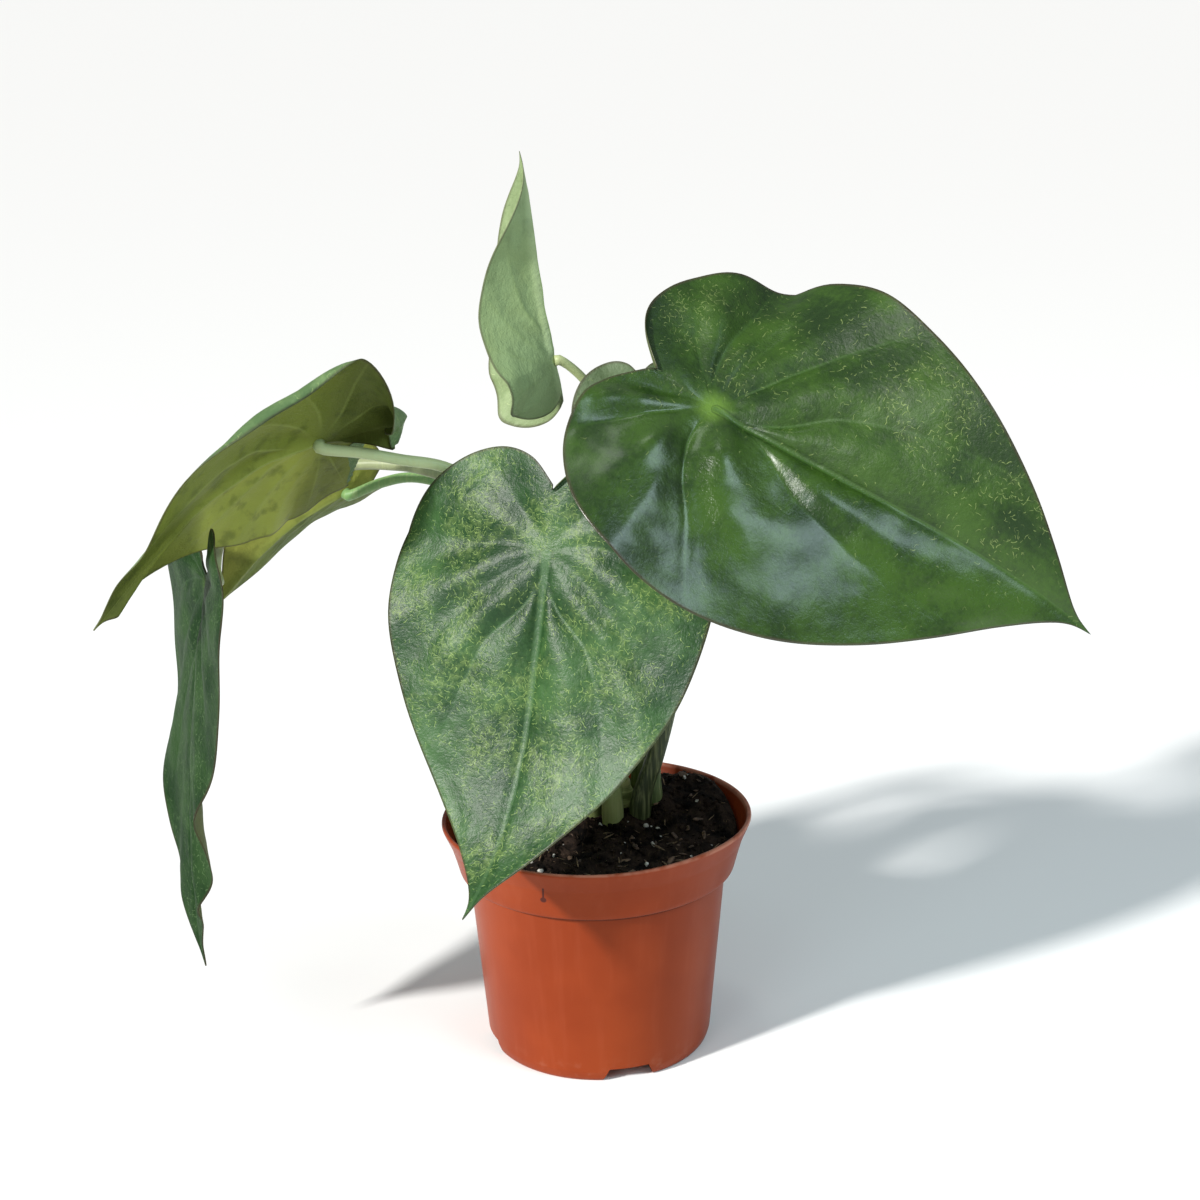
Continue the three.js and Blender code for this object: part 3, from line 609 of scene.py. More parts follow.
    def veins(self, a, b, half):
        """Counts the veins outwards from the midrib: (count, millimetres in one count, strength)."""
        out = np.abs(b)
        from_junction = np.maximum(np.hypot(a, b), 1e-6)
        from_tip = np.maximum(np.hypot(1 - a, b), 1e-6)
        angle = np.degrees(np.arctan2(out, a) + VEIN_RETURN * np.arctan2(out, np.maximum(1 - a, 1e-6)))
        slope_a = -out / from_junction ** 2 + VEIN_RETURN * out / from_tip ** 2
        slope_b = a / from_junction ** 2 + VEIN_RETURN * (1 - a) / from_tip ** 2
        slope = np.degrees(np.hypot(slope_a, slope_b))
        share = smooth_step(0, 0.3, from_junction)
        count = np.zeros_like(angle)
        spacing = np.zeros_like(angle)
        strength = np.zeros_like(angle)
        for side in (0, 1):
            veins = [*self.leaf["veins"][side], (200, 200, 0)]
            stops = [first + (last - first) * share + 0.01 * i for i, (first, last, _) in enumerate(veins)]
            for i in range(len(veins) - 1):
                inside = (half == side) & (angle >= stops[i]) & (angle < stops[i + 1] + (i == len(veins) - 2))
                gap = np.maximum(stops[i + 1] - stops[i], 0.01)
                part = np.clip((angle - stops[i]) / gap, 0, 1)
                count = np.where(inside, i + part, count)
                spacing = np.where(inside, gap / slope * self.leaf["length"], spacing)
                near = np.where(part < 0.5, veins[i][2], veins[i + 1][2])
                strength = np.where(inside, near, strength)
        return count, np.maximum(spacing, 0.05), strength


def scatter_noise(points, seed):
    shift = Vector((seed * 3.1, seed * 1.7, seed * 0.9))
    return np.array([noise.noise(Vector(point) + shift) for point in points])


def build_blade(leaf, spokes, rings, material):
    """The whole blade as one closed skin, with grooved veins above and ridges below."""
    blade = Blade(leaf)
    length = leaf["length"]
    total = 2 * spokes
    order = np.arange(total)
    half = np.concatenate([[0], np.repeat(np.where(order <= spokes, 0, 1), rings)])
    from_tip = np.where(order <= spokes, order, total - order) / spokes
    place = np.concatenate([[0.0], np.repeat(from_tip, rings)])
    reach = np.concatenate([[0.0], np.tile((np.arange(1, rings + 1) / rings) ** RING_CROWDING, total)])
    middle, a, b = blade.point(half, place, reach)
    count, spacing, strength = blade.veins(a, b, half)
    near = np.abs(count - np.maximum(np.round(count), 1)) * spacing
    from_junction = np.hypot(a, b) * length
    from_rib = np.where(a > 0, np.abs(b) * length, from_junction)
    edge = blade.edge(place)
    to_margin = (1 - reach) * np.hypot(edge[:, 0], edge[:, 1]) * length
    seed = np.full_like(a, leaf["seed"])
    flat = np.stack([a * length, by_half(half, (b, -b)) * length, seed * 40.0], -1)

    def index(spoke, ring):
        return np.where(ring == 0, 0, 1 + (spoke % total) * rings + ring - 1)

    # Faces between the middle points
    inner = np.stack([np.zeros(total, int), index(order, 1), index(order + 1, 1)], -1)
    spoke, ring = [values.ravel() for values in np.meshgrid(order, np.arange(1, rings), indexing="ij")]
    quads = np.stack([index(spoke, ring), index(spoke, ring + 1), index(spoke + 1, ring + 1),
                      index(spoke + 1, ring)], -1)

    def normals_of(points):
        result = np.zeros_like(points)
        one = points[quads[:, 2]] - points[quads[:, 0]]
        two = points[quads[:, 3]] - points[quads[:, 1]]
        cross = np.cross(one, two)
        for corner in range(4):
            np.add.at(result, quads[:, corner], cross)
        fan = np.cross(points[inner[:, 1]] - points[inner[:, 0]], points[inner[:, 2]] - points[inner[:, 0]])
        for corner in range(3):
            np.add.at(result, inner[:, corner], fan)
        result = result / np.maximum(np.linalg.norm(result, axis=1), 1e-12)[:, None]
        result = rib_up + (result - rib_up) * off_rib[:, None]
        return result / np.linalg.norm(result, axis=1)[:, None]

    # On the midrib, where the halves meet in a crease, the skin is raised straight along the rib's own up
    rib_up = rib_frame(leaf, a)[1]
    off_rib = smooth_step(0, 2.5, np.abs(b) * length) * smooth_step(0, 4, from_junction)
    normals = normals_of(middle)
    rib_taper = 1 - 0.72 * np.clip(a, 0, 1)
    rib = 1.1 + 0.7 * leaf["rib"]
    branch = strength * (1 - reach) ** 0.6 * smooth_step(3, 20, from_junction)
    branch = branch * smooth_step(1.5, 6, from_rib)
    grooves = GROOVE["rib"] * rib_taper * np.exp(-(from_rib / rib) ** 2) * smooth_step(1.5, 12, from_junction)
    grooves = grooves + GROOVE["vein"] * branch * np.exp(-(near / GROOVE["width"]) ** 2)
    lumps = scatter_noise(flat / (length * 0.11), 1) * 0.6 + scatter_noise(flat / (length * 0.05), 2) * 0.25
    along_veins = np.stack([count * 1.9, from_junction / (length * 0.12), seed], -1)
    pleats = scatter_noise(along_veins, 5) * np.exp(-((from_junction / (length * 0.3)) ** 2))
    pleats = pleats * 2.4 * leaf["pleats"] * np.clip(spacing / 12, 0, 1)
    calm = smooth_step(0, 6, to_margin) * smooth_step(1.5, 9, from_junction)
    relief = leaf["relief"] * ((lumps + pleats) * calm - grooves)
    middle = middle + normals * relief[:, None]
    normals = normals_of(middle)
    thick = BLADE_HALF * (1 - 0.5 * reach ** 8)
    joined = np.exp(-(from_junction / 9) ** 2)
    ridge = (1 + joined) * rib_taper * np.exp(-(from_rib / RIDGE["rib_width"]) ** 2)
    ridge = ridge * smooth_step(0, 5, from_junction)
    ridge = ridge + RIDGE["vein"] * branch * np.exp(-(near / RIDGE["width"]) ** 2)
    below = thick + leaf["relief"] * ridge
    upper = middle + normals * thick[:, None]
    under = middle - normals * below[:, None]
    points = in_frame(np.concatenate([upper, under]))
    shift = len(middle)
    faces = inner.tolist() + quads.tolist()
    faces += (inner[:, ::-1] + shift).tolist() + (quads[:, ::-1] + shift).tolist()
    here = index(order, rings)
    following = index(order + 1, rings)
    faces += np.stack([here, here + shift, following + shift, following], -1).tolist()
    vein = np.stack([count, spacing, to_margin], -1)
    fields = {"flat": flat, "vein": vein, "reach": reach, "strength": strength}
    fields = {key: np.concatenate([values, values]) for key, values in fields.items()}
    fields["face"] = np.concatenate([np.ones(shift), np.zeros(shift)])
    name = leaf["name"]
    return make_piece(f"leaf_{name}", points, faces, material, f"blade_{name}", fields)


def strokes(paint, flat, cell, length, width, amount):
    """Thin bent strokes, one in each cell whose own chance is under the amount, in millimetres."""
    made = paint.node("ShaderNodeTexVoronoi", {"voronoi_dimensions": "2D"}, Vector=flat, Scale=1 / cell)
    chance, turn, bend = paint.split(made.outputs["Color"])
    away = paint.vectors("SUBTRACT", flat, made.outputs["Position"])
    x, y, _ = paint.split(away)
    angle = turn * (2 * math.pi)
    cosine = angle.cosine()
    sine = angle.sine()
    run = x * cosine + y * sine
    off = y * cosine - x * sine + (bend - 0.5) * run * run * (1.6 / length)
    long = abs(run) / (0.5 + bend)
    drawn = abs(off).rise(width, 0.4 * width) * long.rise(length, 0.8 * length)
    return drawn * (amount - chance).rise(0, 0.05)


def blade_material(leaf, look, settings):
    """A leaf: mottled upper face with pale veins and flecks, a plainer lower face, a dark margin."""
    paint = Paint(f"leaf_{leaf['name']}")
    flat = paint.field("flat")[1]
    count, spacing, to_margin = paint.split(paint.field("vein")[1])
    upper = paint.field("face")[0].rise(0.35, 0.65)
    reach = paint.field("reach")[0]
    ahead, side, _ = paint.split(flat)
    near = abs(count - count.nearest().larger(1.0)) * spacing
    strength = paint.field("strength")[0]
    from_junction = (ahead * ahead + side * side) ** 0.5
    rib_share = (abs(side) + ahead.rise(1, -4) * 9) / ((1 - reach * 0.65) * leaf["rib"])
    rib_line = rib_share.rise(1.1, 0.5) * (1 - reach * 0.5)
    rib_edge = abs(rib_share - 1.35).rise(0.4, 0.1) * (1 - reach) * upper
    branch = strength * from_junction.rise(5, 20) * abs(side).rise(0.8, 4.0)
    side_line = near.rise(0.8, 0.15) * (1 - reach * 0.8) * branch
    lines = (rib_line + side_line).smaller(1.0)

    mottle = paint.noise(flat, look["mottle"], 4.0, 0.6)
    fine = paint.noise(flat, 0.6, 3.0, 0.6)
    shade = (mottle * 0.8 + fine * 0.2).rise(0.36, 0.64)
    top = paint.mix(shade, look["deep"], look["light"])
    top = paint.mix(from_junction.rise(9, 1) * look["heart"], top, settings.junction_colour[:])
    top = paint.mix(lines * settings.vein_strength, top, look["vein"])
    top = paint.mix(rib_edge * 0.45, top, look["deep"])

    # Flecks in patches: thin bent strokes over a pale haze
    length = leaf["length"]
    share = side.rise(-0.08 * length, 0.08 * length)
    patches = paint.noise(flat, 0.05, 3.0).rise(0.4, 0.62)
    amount = (share * (look["flecks"][0] - look["flecks"][1]) + look["flecks"][1]) * (0.25 + 0.95 * patches)
    # Spots add flecks and a paler haze; where they lie on the blade's shine, the haze is a painted highlight
    for spot_a, spot_b, spread in look["fleck_and_highlight_spots"]:
        away = (ahead - spot_a * length) ** 2 + (side - spot_b * length) ** 2
        amount = amount + away.rise((1.3 * spread * length) ** 2, 0) * (0.12 + 0.4 * patches)
    pushed = paint.jostled(flat, 0.35, 2.2)
    flecks = strokes(paint, pushed, 2.1, 1.1, 0.13, amount)
    mirrored = paint.vectors("MULTIPLY", pushed, (1, -1, 1))
    flecks = flecks.larger(strokes(paint, mirrored, 1.4, 0.6, 0.1, amount * 0.8))
    flecks = flecks * (1 - lines * 0.7)
    haze = amount.rise(0.15, 0.9) * paint.noise(flat, 0.35, 4.0, 0.7).rise(0.4, 0.7)
    top = paint.mix(haze * look["haze"], top, look["fleck"])
    top = paint.mix(flecks * settings.fleck_strength, top, look["fleck"])

    # The lower face, one colour on either side of the midrib; on left_upper these are painted light through
    # one half and painted shade on the other
    below = paint.mix(side.rise(-5, 5), look["under"][1], look["under"][0])
    below = paint.mix(paint.noise(flat, 0.045, 3.0).rise(0.36, 0.7) * look["stain"], below, YELLOWED)
    below = paint.mix(paint.noise(flat, 0.13, 3.0).rise(0.5, 0.72) * look["stain"], below, DARK_BLOTCH_AND_SHADE)
    # Painted shade: the lower face is darkened behind the junction and towards the tip, so that its middle
    # looks lit through
    ends = (ahead / length).rise(0.1, -0.1) + (ahead / length).rise(0.5, 0.95)
    below = paint.mix(ends * look["painted_shade_ends"], below, DARK_BLOTCH_AND_SHADE)
    below = paint.mix(lines * 0.75, below, look["vein"])
    colour = paint.mix(upper, below, top)
    margin = to_margin.rise(1.5, 0.35) * (0.55 + 0.45 * paint.noise(flat, 0.2, 2.0))
    colour = paint.mix(margin * settings.margin_strength, colour, settings.margin_colour[:])

    broad = paint.noise(pushed, 0.22, 4.0, 0.65)
    grain = paint.noise(flat, 1.2, 4.0, 0.7)
    normal = paint.bump(broad * 2.2 + fine * 0.7 + grain * 0.3, settings.grain_depth * look["crinkle"] * MM)
    rough = look["gloss"] + share * look["matt"] + (1 - upper) * 0.12 + fine * 0.12 + flecks * 0.1
    return paint.finish(
        Base_Color=colour, Roughness=rough, Normal=normal, Specular_IOR_Level=look["shine"],
        Coat_Weight=(1 - share * 0.85) * look["coat"], Coat_Roughness=0.22,
    )


def curve_through(points):
    """Places along a centripetal spline through the points, evenly by length."""
    points = np.asarray(points, float)
    points = np.concatenate([[2 * points[0] - points[1]], points, [2 * points[-1] - points[-2]]])
    dense = []
    for i in range(len(points) - 3):
        p0, p1, p2, p3 = points[i:i + 4]
        d0, d1, d2 = [np.linalg.norm(q - p) ** 0.5 for p, q in ((p0, p1), (p1, p2), (p2, p3))]
        t1 = ((p1 - p0) / d0 - (p2 - p0) / (d0 + d1) + (p2 - p1) / d1) * d1
        t2 = ((p2 - p1) / d1 - (p3 - p1) / (d1 + d2) + (p3 - p2) / d2) * d1
        for t in np.linspace(0, 1, 40, endpoint=False):
            c2 = -3 * p1 + 3 * p2 - 2 * t1 - t2
            c3 = 2 * p1 - 2 * p2 + t1 + t2
            dense.append(p1 + t1 * t + c2 * t ** 2 + c3 * t ** 3)
    dense.append(points[-2])
    dense = np.array(dense)
    gone = np.concatenate([[0], np.cumsum(np.linalg.norm(np.diff(dense, axis=0), axis=1))])

    def at(shares):
        wanted = np.asarray(shares) * gone[-1]
        return np.stack([np.interp(wanted, gone, dense[:, k]) for k in range(3)], -1)

    return at


def ring_faces(rows, sides):
    """Faces between rings of points, closed by fans round the two points that follow them."""
    faces = []
    for low in range(0, (rows - 1) * sides, sides):
        for i in range(sides):
            n = (i + 1) % sides
            faces.append([low + i, low + n, low + sides + n, low + sides + i])
    foot = rows * sides
    for i in range(sides):
        n = (i + 1) % sides
        faces.append([foot, n, i])
        faces.append([foot + 1, foot - sides + i, foot - sides + n])
    return faces


def tube(centres, radii, sides):
    """A closed tube of rings round its centres, with a frame that never twists."""
    ahead = np.gradient(centres, axis=0)
    ahead /= np.linalg.norm(ahead, axis=1)[:, None]
    across = np.cross(ahead[0], (0, 1, 0))
    across /= np.linalg.norm(across)
    turns = 2 * np.pi * np.arange(sides) / sides
    points = []
    for k, centre in enumerate(centres):
        across = across - ahead[k] * np.dot(across, ahead[k])
        across /= np.linalg.norm(across)
        other = np.cross(ahead[k], across)
        around = np.cos(turns)[:, None] * across + np.sin(turns)[:, None] * other
        points.append(centre + radii[k] * around)
    return np.concatenate(points + [centres[:1], centres[-1:]]), ring_faces(len(centres), sides)


def stalk_base(leaf):
    turn = math.radians(leaf["stalk"][0])
    return CROWN["x"] + CROWN["ring"] * math.cos(turn), CROWN["y"] + CROWN["ring"] * math.sin(turn)


def build_stalk(leaf, sides, steps, material):
    x, y = stalk_base(leaf)
    junction = np.array(leaf["junction"], float)
    up = rib_frame(leaf, np.array(0.0))[1]
    route = [(x, y, STALK_FOOT), (x, y, (STALK_FOOT + SOIL_CROWN) / 2), *leaf["route"]]
    route += [junction - leaf["join"] * up, junction - 0.2 * up]
    shares = np.linspace(0, 1, steps)
    centres = curve_through(route)(shares)
    slender = leaf["stalk"][1]
    radii = STALK_BASE_RADIUS + (slender - STALK_BASE_RADIUS) * np.minimum(1, shares * 1.3)
    radii = radii + 0.7 * np.exp(-((centres[:, 2] - SOIL_CROWN - 3) / 7) ** 2)
    radii = radii + 0.2 * slender * smooth_step(0.975, 1.0, shares)
    points, faces = tube(centres, radii, sides)
    name = leaf["name"]
    fields = {"share": np.concatenate([np.repeat(shares, sides), [0, 1]])}
    return make_piece(f"leafstalk_{name}", in_frame(points), faces, material, f"stalk_{name}",
                      fields)


def stalk_material(leaf):
    low, high, pale = STALK_LOOKS[leaf["name"]]
    paint = Paint(f"stalk_{leaf['name']}")
    place = paint.place()
    share = paint.field("share")[0]
    # From the foot's colour to the blade's; right_large's foot colour is painted shade
    colour = paint.mix(share.rise(0.12, 0.75), low, high)
    colour = paint.mix(paint.split(place)[2].rise(0.104, 0.093) * pale, colour, (0.3, 0.34, 0.13))
    streaks = paint.noise(paint.vectors("MULTIPLY", place, (900, 900, 45)), 1.0, 3.0)
    colour = paint.mix(streaks.rise(0.4, 0.75) * 0.35, colour, (0.42, 0.46, 0.22))
    blush = paint.noise(place, 60.0, 2.0)
    colour = paint.mix(blush.rise(0.55, 0.75) * 0.18, colour, (0.3, 0.2, 0.12))
    normal = paint.bump(streaks + 0.4 * paint.noise(place, 900.0, 3.0), 0.0002, 0.5)
    return paint.finish(Base_Color=colour, Roughness=0.36 + 0.14 * streaks, Normal=normal,
                        Specular_IOR_Level=0.3)


def round_ring(radius, z, sides):
    turns = 2 * np.pi * np.arange(sides) / sides
    return np.stack([radius * np.cos(turns), radius * np.sin(turns), np.full(sides, z)], -1)


def lathe(profile, sides):
    """Points and faces of a closed lathe whose profile starts and ends on the axis."""
    inner = [row for row in profile if row[0] > 0]
    points = [round_ring(radius, z, sides) for radius, z in inner]
    points = np.concatenate(points + [np.array([[0, 0, profile[0][1]], [0, 0, profile[-1][1]]])])
    return points, ring_faces(len(inner), sides)


def rounded(profile, radius, steps=4):
    """The profile with each inner corner turned into a small arc."""
    points = [np.array(p, float) for p in profile]
    result = [points[0]]
    for before, here, after in zip(points, points[1:], points[2:]):
        back = before - here
        ahead = after - here
        reach = min(radius, 0.45 * np.linalg.norm(back), 0.45 * np.linalg.norm(ahead))
        start = here + back / np.linalg.norm(back) * reach
        end = here + ahead / np.linalg.norm(ahead) * reach
        for i in range(steps + 1):
            t = i / steps
            result.append((1 - t) ** 2 * start + 2 * t * (1 - t) * here + t ** 2 * end)
    result.append(points[-1])
    return [tuple(p) for p in result]


def warp_by_rim(points):
    """The soft rim's dent and lift."""
    points = np.array(points, float)
    share = (points[:, 2] / POT_HEIGHT) ** 3
    away = np.degrees(np.arctan2(points[:, 1], points[:, 0])) - DENT["at"]
    turned = (away + 540) % 360 - 180
    scale = 1 - share * DENT["depth"] * np.exp(-(turned / DENT["spread"]) ** 2) / RIM_RADIUS
    lifted = points[:, 2] + share * RIM_LIFT * points[:, 0] / RIM_RADIUS
    return np.stack([points[:, 0] * scale, points[:, 1] * scale, lifted], -1)


def cut(piece, cutters):
    """Takes the cutters out of a piece."""
    for points, faces in cutters:
        mesh = new_mesh("cutter", points, faces)
        cutter = new_object("cutter", mesh)
        modifier = piece.modifiers.new("cut", "BOOLEAN")
        modifier.operation = "DIFFERENCE"
        modifier.solver = "EXACT"
        modifier.object = cutter
        with bpy.context.temp_override(object=piece, active_object=piece):
            bpy.ops.object.modifier_apply(modifier=modifier.name)
        bpy.data.objects.remove(cutter)
        bpy.data.meshes.remove(mesh)


def notch_cutters():
    cutters = []
    for i in range(NOTCH["count"]):
        turn = math.radians(NOTCH["first"] + 360 / NOTCH["count"] * i)
        section = [(-NOTCH["wide"] / 2, -1), (NOTCH["wide"] / 2, -1),
                   (NOTCH["narrow"] / 2, NOTCH["height"]), (-NOTCH["narrow"] / 2, NOTCH["height"])]
        points = []
        for radius in (FOOT_RADIUS - 6, FOOT_RADIUS + 4):
            for across, z in section:
                points.append((radius * math.cos(turn) - across * math.sin(turn),
                               radius * math.sin(turn) + across * math.cos(turn), z))
        faces = [[3, 2, 1, 0], [4, 5, 6, 7], [1, 5, 4, 0], [2, 6, 5, 1], [3, 7, 6, 2], [0, 4, 7, 3]]
        cutters.append((in_frame(points), faces))
    return cutters


def drain_cutters():
    cutters = []
    for i in range(DRAIN["count"]):
        turn = 2 * math.pi * i / DRAIN["count"]
        shape = [(0, FLOOR_BOTTOM - 2), (DRAIN["radius"], FLOOR_BOTTOM - 2),
                 (DRAIN["radius"], FLOOR_TOP + 2), (0, FLOOR_TOP + 2)]
        points, faces = lathe(shape, 24)
        shift = np.array([DRAIN["ring"] * math.cos(turn), DRAIN["ring"] * math.sin(turn), 0])
        cutters.append((in_frame(points + shift), faces))
    return cutters


def pot_material(settings):
    """Moulded terracotta-coloured plastic: soft gloss, faint flow streaks, dust near the foot, and a painted
    shade line under the band's step.
    """
    paint = Paint("terracotta_plastic")
    place = paint.place()
    x, y, z = paint.split(place)
    streaks = paint.noise(paint.vectors("MULTIPLY", place, (260, 260, 9)), 1.0, 3.0)
    cloud = paint.noise(place, 22.0, 3.0)
    colour = paint.mix(cloud.rise(0.3, 0.7), settings.deep[:], settings.light[:])
    colour = paint.mix(streaks.rise(0.45, 0.75) * 0.05, colour, settings.bloom[:])
    dust = z.rise(0.012, 0.0) * paint.noise(place, 180.0, 4.0).rise(0.5, 0.75)
    wear = z.rise(0.0912, 0.0922) * paint.noise(place, 90.0, 3.0).rise(0.3, 0.55)
    # Painted shade: a thin dark line just under the band's step
    band_step_shade = abs(z - (BAND_HEIGHT - 0.9) * MM).rise(0.0013, 0.0003)
    specks = paint.cells(place, 420.0).rise(0.09, 0.04) * paint.noise(place, 40.0, 2.0).rise(0.6, 0.68)

    # A dried drip on the band: a thin trail with a dark drop at its end
    mark = settings.drip_place
    across = abs(x - mark[0])
    above = z - mark[2]
    front = y.rise(-0.02, -0.022)
    trail = across.rise(0.00045, 0.00025) * above.rise(-0.0002, 0.0003) * above.rise(0.0058, 0.0052)
    drop = (across ** 2 + above ** 2).rise(1.7e-6, 9e-7)
    drip = (trail + drop).smaller(1.0) * front
    marks_and_shade = {"dust": dust, "wear": wear, "band_step_shade": band_step_shade, "specks": specks, "drip": drip}
    for name, (strength, tint) in POT_MARKS_AND_SHADE.items():
        colour = paint.mix(marks_and_shade[name] * strength, colour, tint)

    normal = paint.bump(cloud * 0.6 + paint.noise(place, 900.0, 3.0) * 0.12, 0.0004, 0.4)
    rough = settings.roughness + 0.12 * paint.noise(place, 60.0, 3.0) + dust * 0.2
    return paint.finish(Base_Color=colour, Roughness=rough, Normal=normal, IOR=1.2)


def soil_height(x, y):
    out = np.hypot(x, y) / RIM_RADIUS
    to_crown = np.hypot(x - CROWN["x"], y - CROWN["y"]) / 30
    to_heap = np.hypot(x - HEAP["x"], y - HEAP["y"]) / HEAP["spread"]
    return (SOIL_EDGE + (SOIL_CROWN - SOIL_EDGE) * np.exp(-to_crown ** 2)
            + HEAP["height"] * np.exp(-to_heap ** 2) - 2 * out ** 6)


def soil_lumps(x, y):
    """The uneven top: lumps of a centimetre down to two millimetres."""
    flat = np.stack([np.ravel(x), np.ravel(y), np.zeros(np.size(x))], -1)
    lumps = 0
    for seed, height, wide in SOIL_LUMPS:
        lumps = lumps + height * scatter_noise(flat / wide, seed)
    return lumps.reshape(np.shape(x))


def build_soil(material, rings, sides):
    radii = SOIL_RADIUS * (np.arange(1, rings + 1) / rings) ** 0.9
    turns = 2 * np.pi * np.arange(sides) / sides
    x = radii[:, None] * np.cos(turns)
    y = radii[:, None] * np.sin(turns)
    calm = np.clip((SOIL_RADIUS - radii[:, None]) / 3, 0.25, 1)
    z = soil_height(x, y) + calm * soil_lumps(x, y)
    middle = np.array([[0, 0, soil_height(0.0, 0.0)]])
    top = np.stack([x, y, z], -1).reshape(-1, 3)
    side = [(WALL_TOP_RADIUS - POT_WALL - SOIL_GAP, BAND_HEIGHT + SOIL_GAP),
            (WALL_FOOT_RADIUS - POT_WALL - SOIL_GAP, 9.7),
            (FOOT_RADIUS - POT_WALL - 0.5, FLOOR_TOP + SOIL_GAP)]
    below = [round_ring(radius, height, sides) for radius, height in side]
    foot = np.array([[0, 0, FLOOR_TOP + SOIL_GAP]])
    points = warp_by_rim(np.concatenate([middle, top, *below, foot]))
    faces = []
    rows = rings + len(side)
    for i in range(sides):
        n = (i + 1) % sides
        faces.append([0, 1 + i, 1 + n])
        faces.append([len(points) - 1, 1 + (rows - 1) * sides + n, 1 + (rows - 1) * sides + i])
    for row in range(rows - 1):
        low = 1 + row * sides
        for i in range(sides):
            n = (i + 1) % sides
            faces.append([low + i, low + sides + i, low + sides + n, low + n])
    return make_piece("soil_bed", in_frame(points), faces, material, "soil")


def grain_shape(coarse):
    """A small closed lump, as points and faces, one across."""
    made = bmesh.new()
    bmesh.ops.create_icosphere(made, subdivisions=1 if coarse else 2, radius=0.5)
    points = np.array([v.co[:] for v in made.verts])
    faces = [[v.index for v in f.verts] for f in made.faces]
    made.free()
    return points, faces


def scatter_grains(name, count, sizes, flatness, sunk, material, seed, likely=None, coarse=False):
    """Many rough grains on the soil, fused in one piece. likely is a grain's chance to stay at a place."""
    rng = random.Random(seed)
    shape, shape_faces = grain_shape(coarse)
    points = []
    faces = []
    keep_clear = [(*stalk_base(leaf), STALK_CLEAR) for leaf in LEAVES]
    keep_clear.append((CROWN["x"], CROWN["y"], STEM_CLEAR))
    placed = 0
    tries = 0
    while placed < count and tries < count * 30:
        tries += 1
        radius = GRAIN_REACH * math.sqrt(rng.random())
        turn = rng.uniform(0, 2 * math.pi)
        x = radius * math.cos(turn)
        y = radius * math.sin(turn)
        if any(math.hypot(x - cx, y - cy) < clear for cx, cy, clear in keep_clear):
            continue
        if likely is not None and rng.random() > likely(x, y):
            continue
        size = sizes[0] + (sizes[1] - sizes[0]) * rng.random() ** 2.2
        stretch = np.array([1.0, rng.uniform(*flatness[0]), rng.uniform(*flatness[1])])
        rough = np.array([noise.noise(Vector(p * 2.3) + Vector((placed * 1.3, seed, 0))) for p in shape])
        local = shape * (1 + 0.55 * rough)[:, None] * stretch * size
        turned = np.array(Matrix.Rotation(rng.uniform(0, 6.28), 3, "Z")
                          @ Matrix.Rotation(rng.uniform(-0.6, 0.6), 3, "X")
                          @ Matrix.Rotation(rng.uniform(-0.6, 0.6), 3, "Y"))
        local = local @ turned.T
        z = float(soil_height(x, y) + soil_lumps(np.array([x]), np.array([y]))[0])
        base = len(points) * len(shape)
        points.append(local + np.array([x, y, z + size * sunk]))
        faces += [[base + i for i in face] for face in shape_faces]
        placed += 1
    points = warp_by_rim(np.concatenate(points))
    return make_piece(name, in_frame(points), faces, material, smooth=not coarse)


def soil_material(settings):
    paint = Paint("damp_soil")
    place = paint.place()
    crumbs = paint.cells(place, 620.0)
    cloud = paint.noise(place, 140.0, 5.0, 0.65)
    colour = paint.mix(cloud.rise(0.35, 0.7), settings.dark[:], settings.brown[:])
    fibres = paint.noise(paint.vectors("MULTIPLY", place, (1500, 300, 300)), 1.0, 2.0).rise(0.62, 0.72)
    colour = paint.mix(fibres * 0.4, colour, (0.09, 0.055, 0.03))
    height = cloud + crumbs * 0.6 + paint.noise(place, 1800.0, 3.0) * 0.3
    return paint.finish(Base_Color=colour, Roughness=0.72 + 0.25 * cloud, Specular_IOR_Level=0.08,
                        Normal=paint.bump(height, 0.0008, 0.9))


def grain_material(name, dark, light, rough_from):
    paint = Paint(name)
    place = paint.place()
    cloud = paint.noise(place, 420.0, 4.0, 0.6)
    colour = paint.mix(cloud.rise(0.35, 0.65), dark, light)
    height = cloud + paint.cells(place, 1500.0) * 0.5
    return paint.finish(Base_Color=colour, Roughness=rough_from + 0.15 * cloud,
                        Normal=paint.bump(height, 0.0004, 0.8))


def build_stem_base(material):
    """The short pale stem between the stalks, ringed where old leaves fell."""
    profile = [(0, STEM["foot"]), (STEM["radius"], STEM["foot"]), (STEM["radius"], STEM["soil"] - 3)]
    for i in range(24):
        t = i / 23
        z = STEM["soil"] - 3 + t * (STEM["top"] - STEM["soil"] + 2)
        radius = STEM["radius"] * (1 - 0.68 * t ** 1.6) + 0.18 * math.sin(t * 26)
        profile.append((radius, z))
    profile.append((0, STEM["top"]))
    points, faces = lathe(profile, 40)
    points = points + np.array([CROWN["x"], CROWN["y"], 0])
    return make_piece("crown_stem", in_frame(points), faces, material, "stem_base")


def stem_material():
    paint = Paint("pale_stem")
    place = paint.place()
    height = paint.split(place)[2]
    rings = paint.noise(paint.vectors("MULTIPLY", place, (60, 60, 900)), 1.0, 2.0)
    colour = paint.mix(rings.rise(0.4, 0.65), (0.2, 0.26, 0.07), (0.46, 0.5, 0.2))
    colour = paint.mix(height.rise(0.094, 0.088) * 0.6, colour, (0.1, 0.07, 0.03))
    return paint.finish(Base_Color=colour, Roughness=0.45 + 0.2 * rings,
                        Normal=paint.bump(rings, 0.0005, 0.6))


def colour_property(name, description, default):
    return FloatVectorProperty(name=name, description=description, subtype="COLOR", size=3, min=0, max=1,
                               default=default)


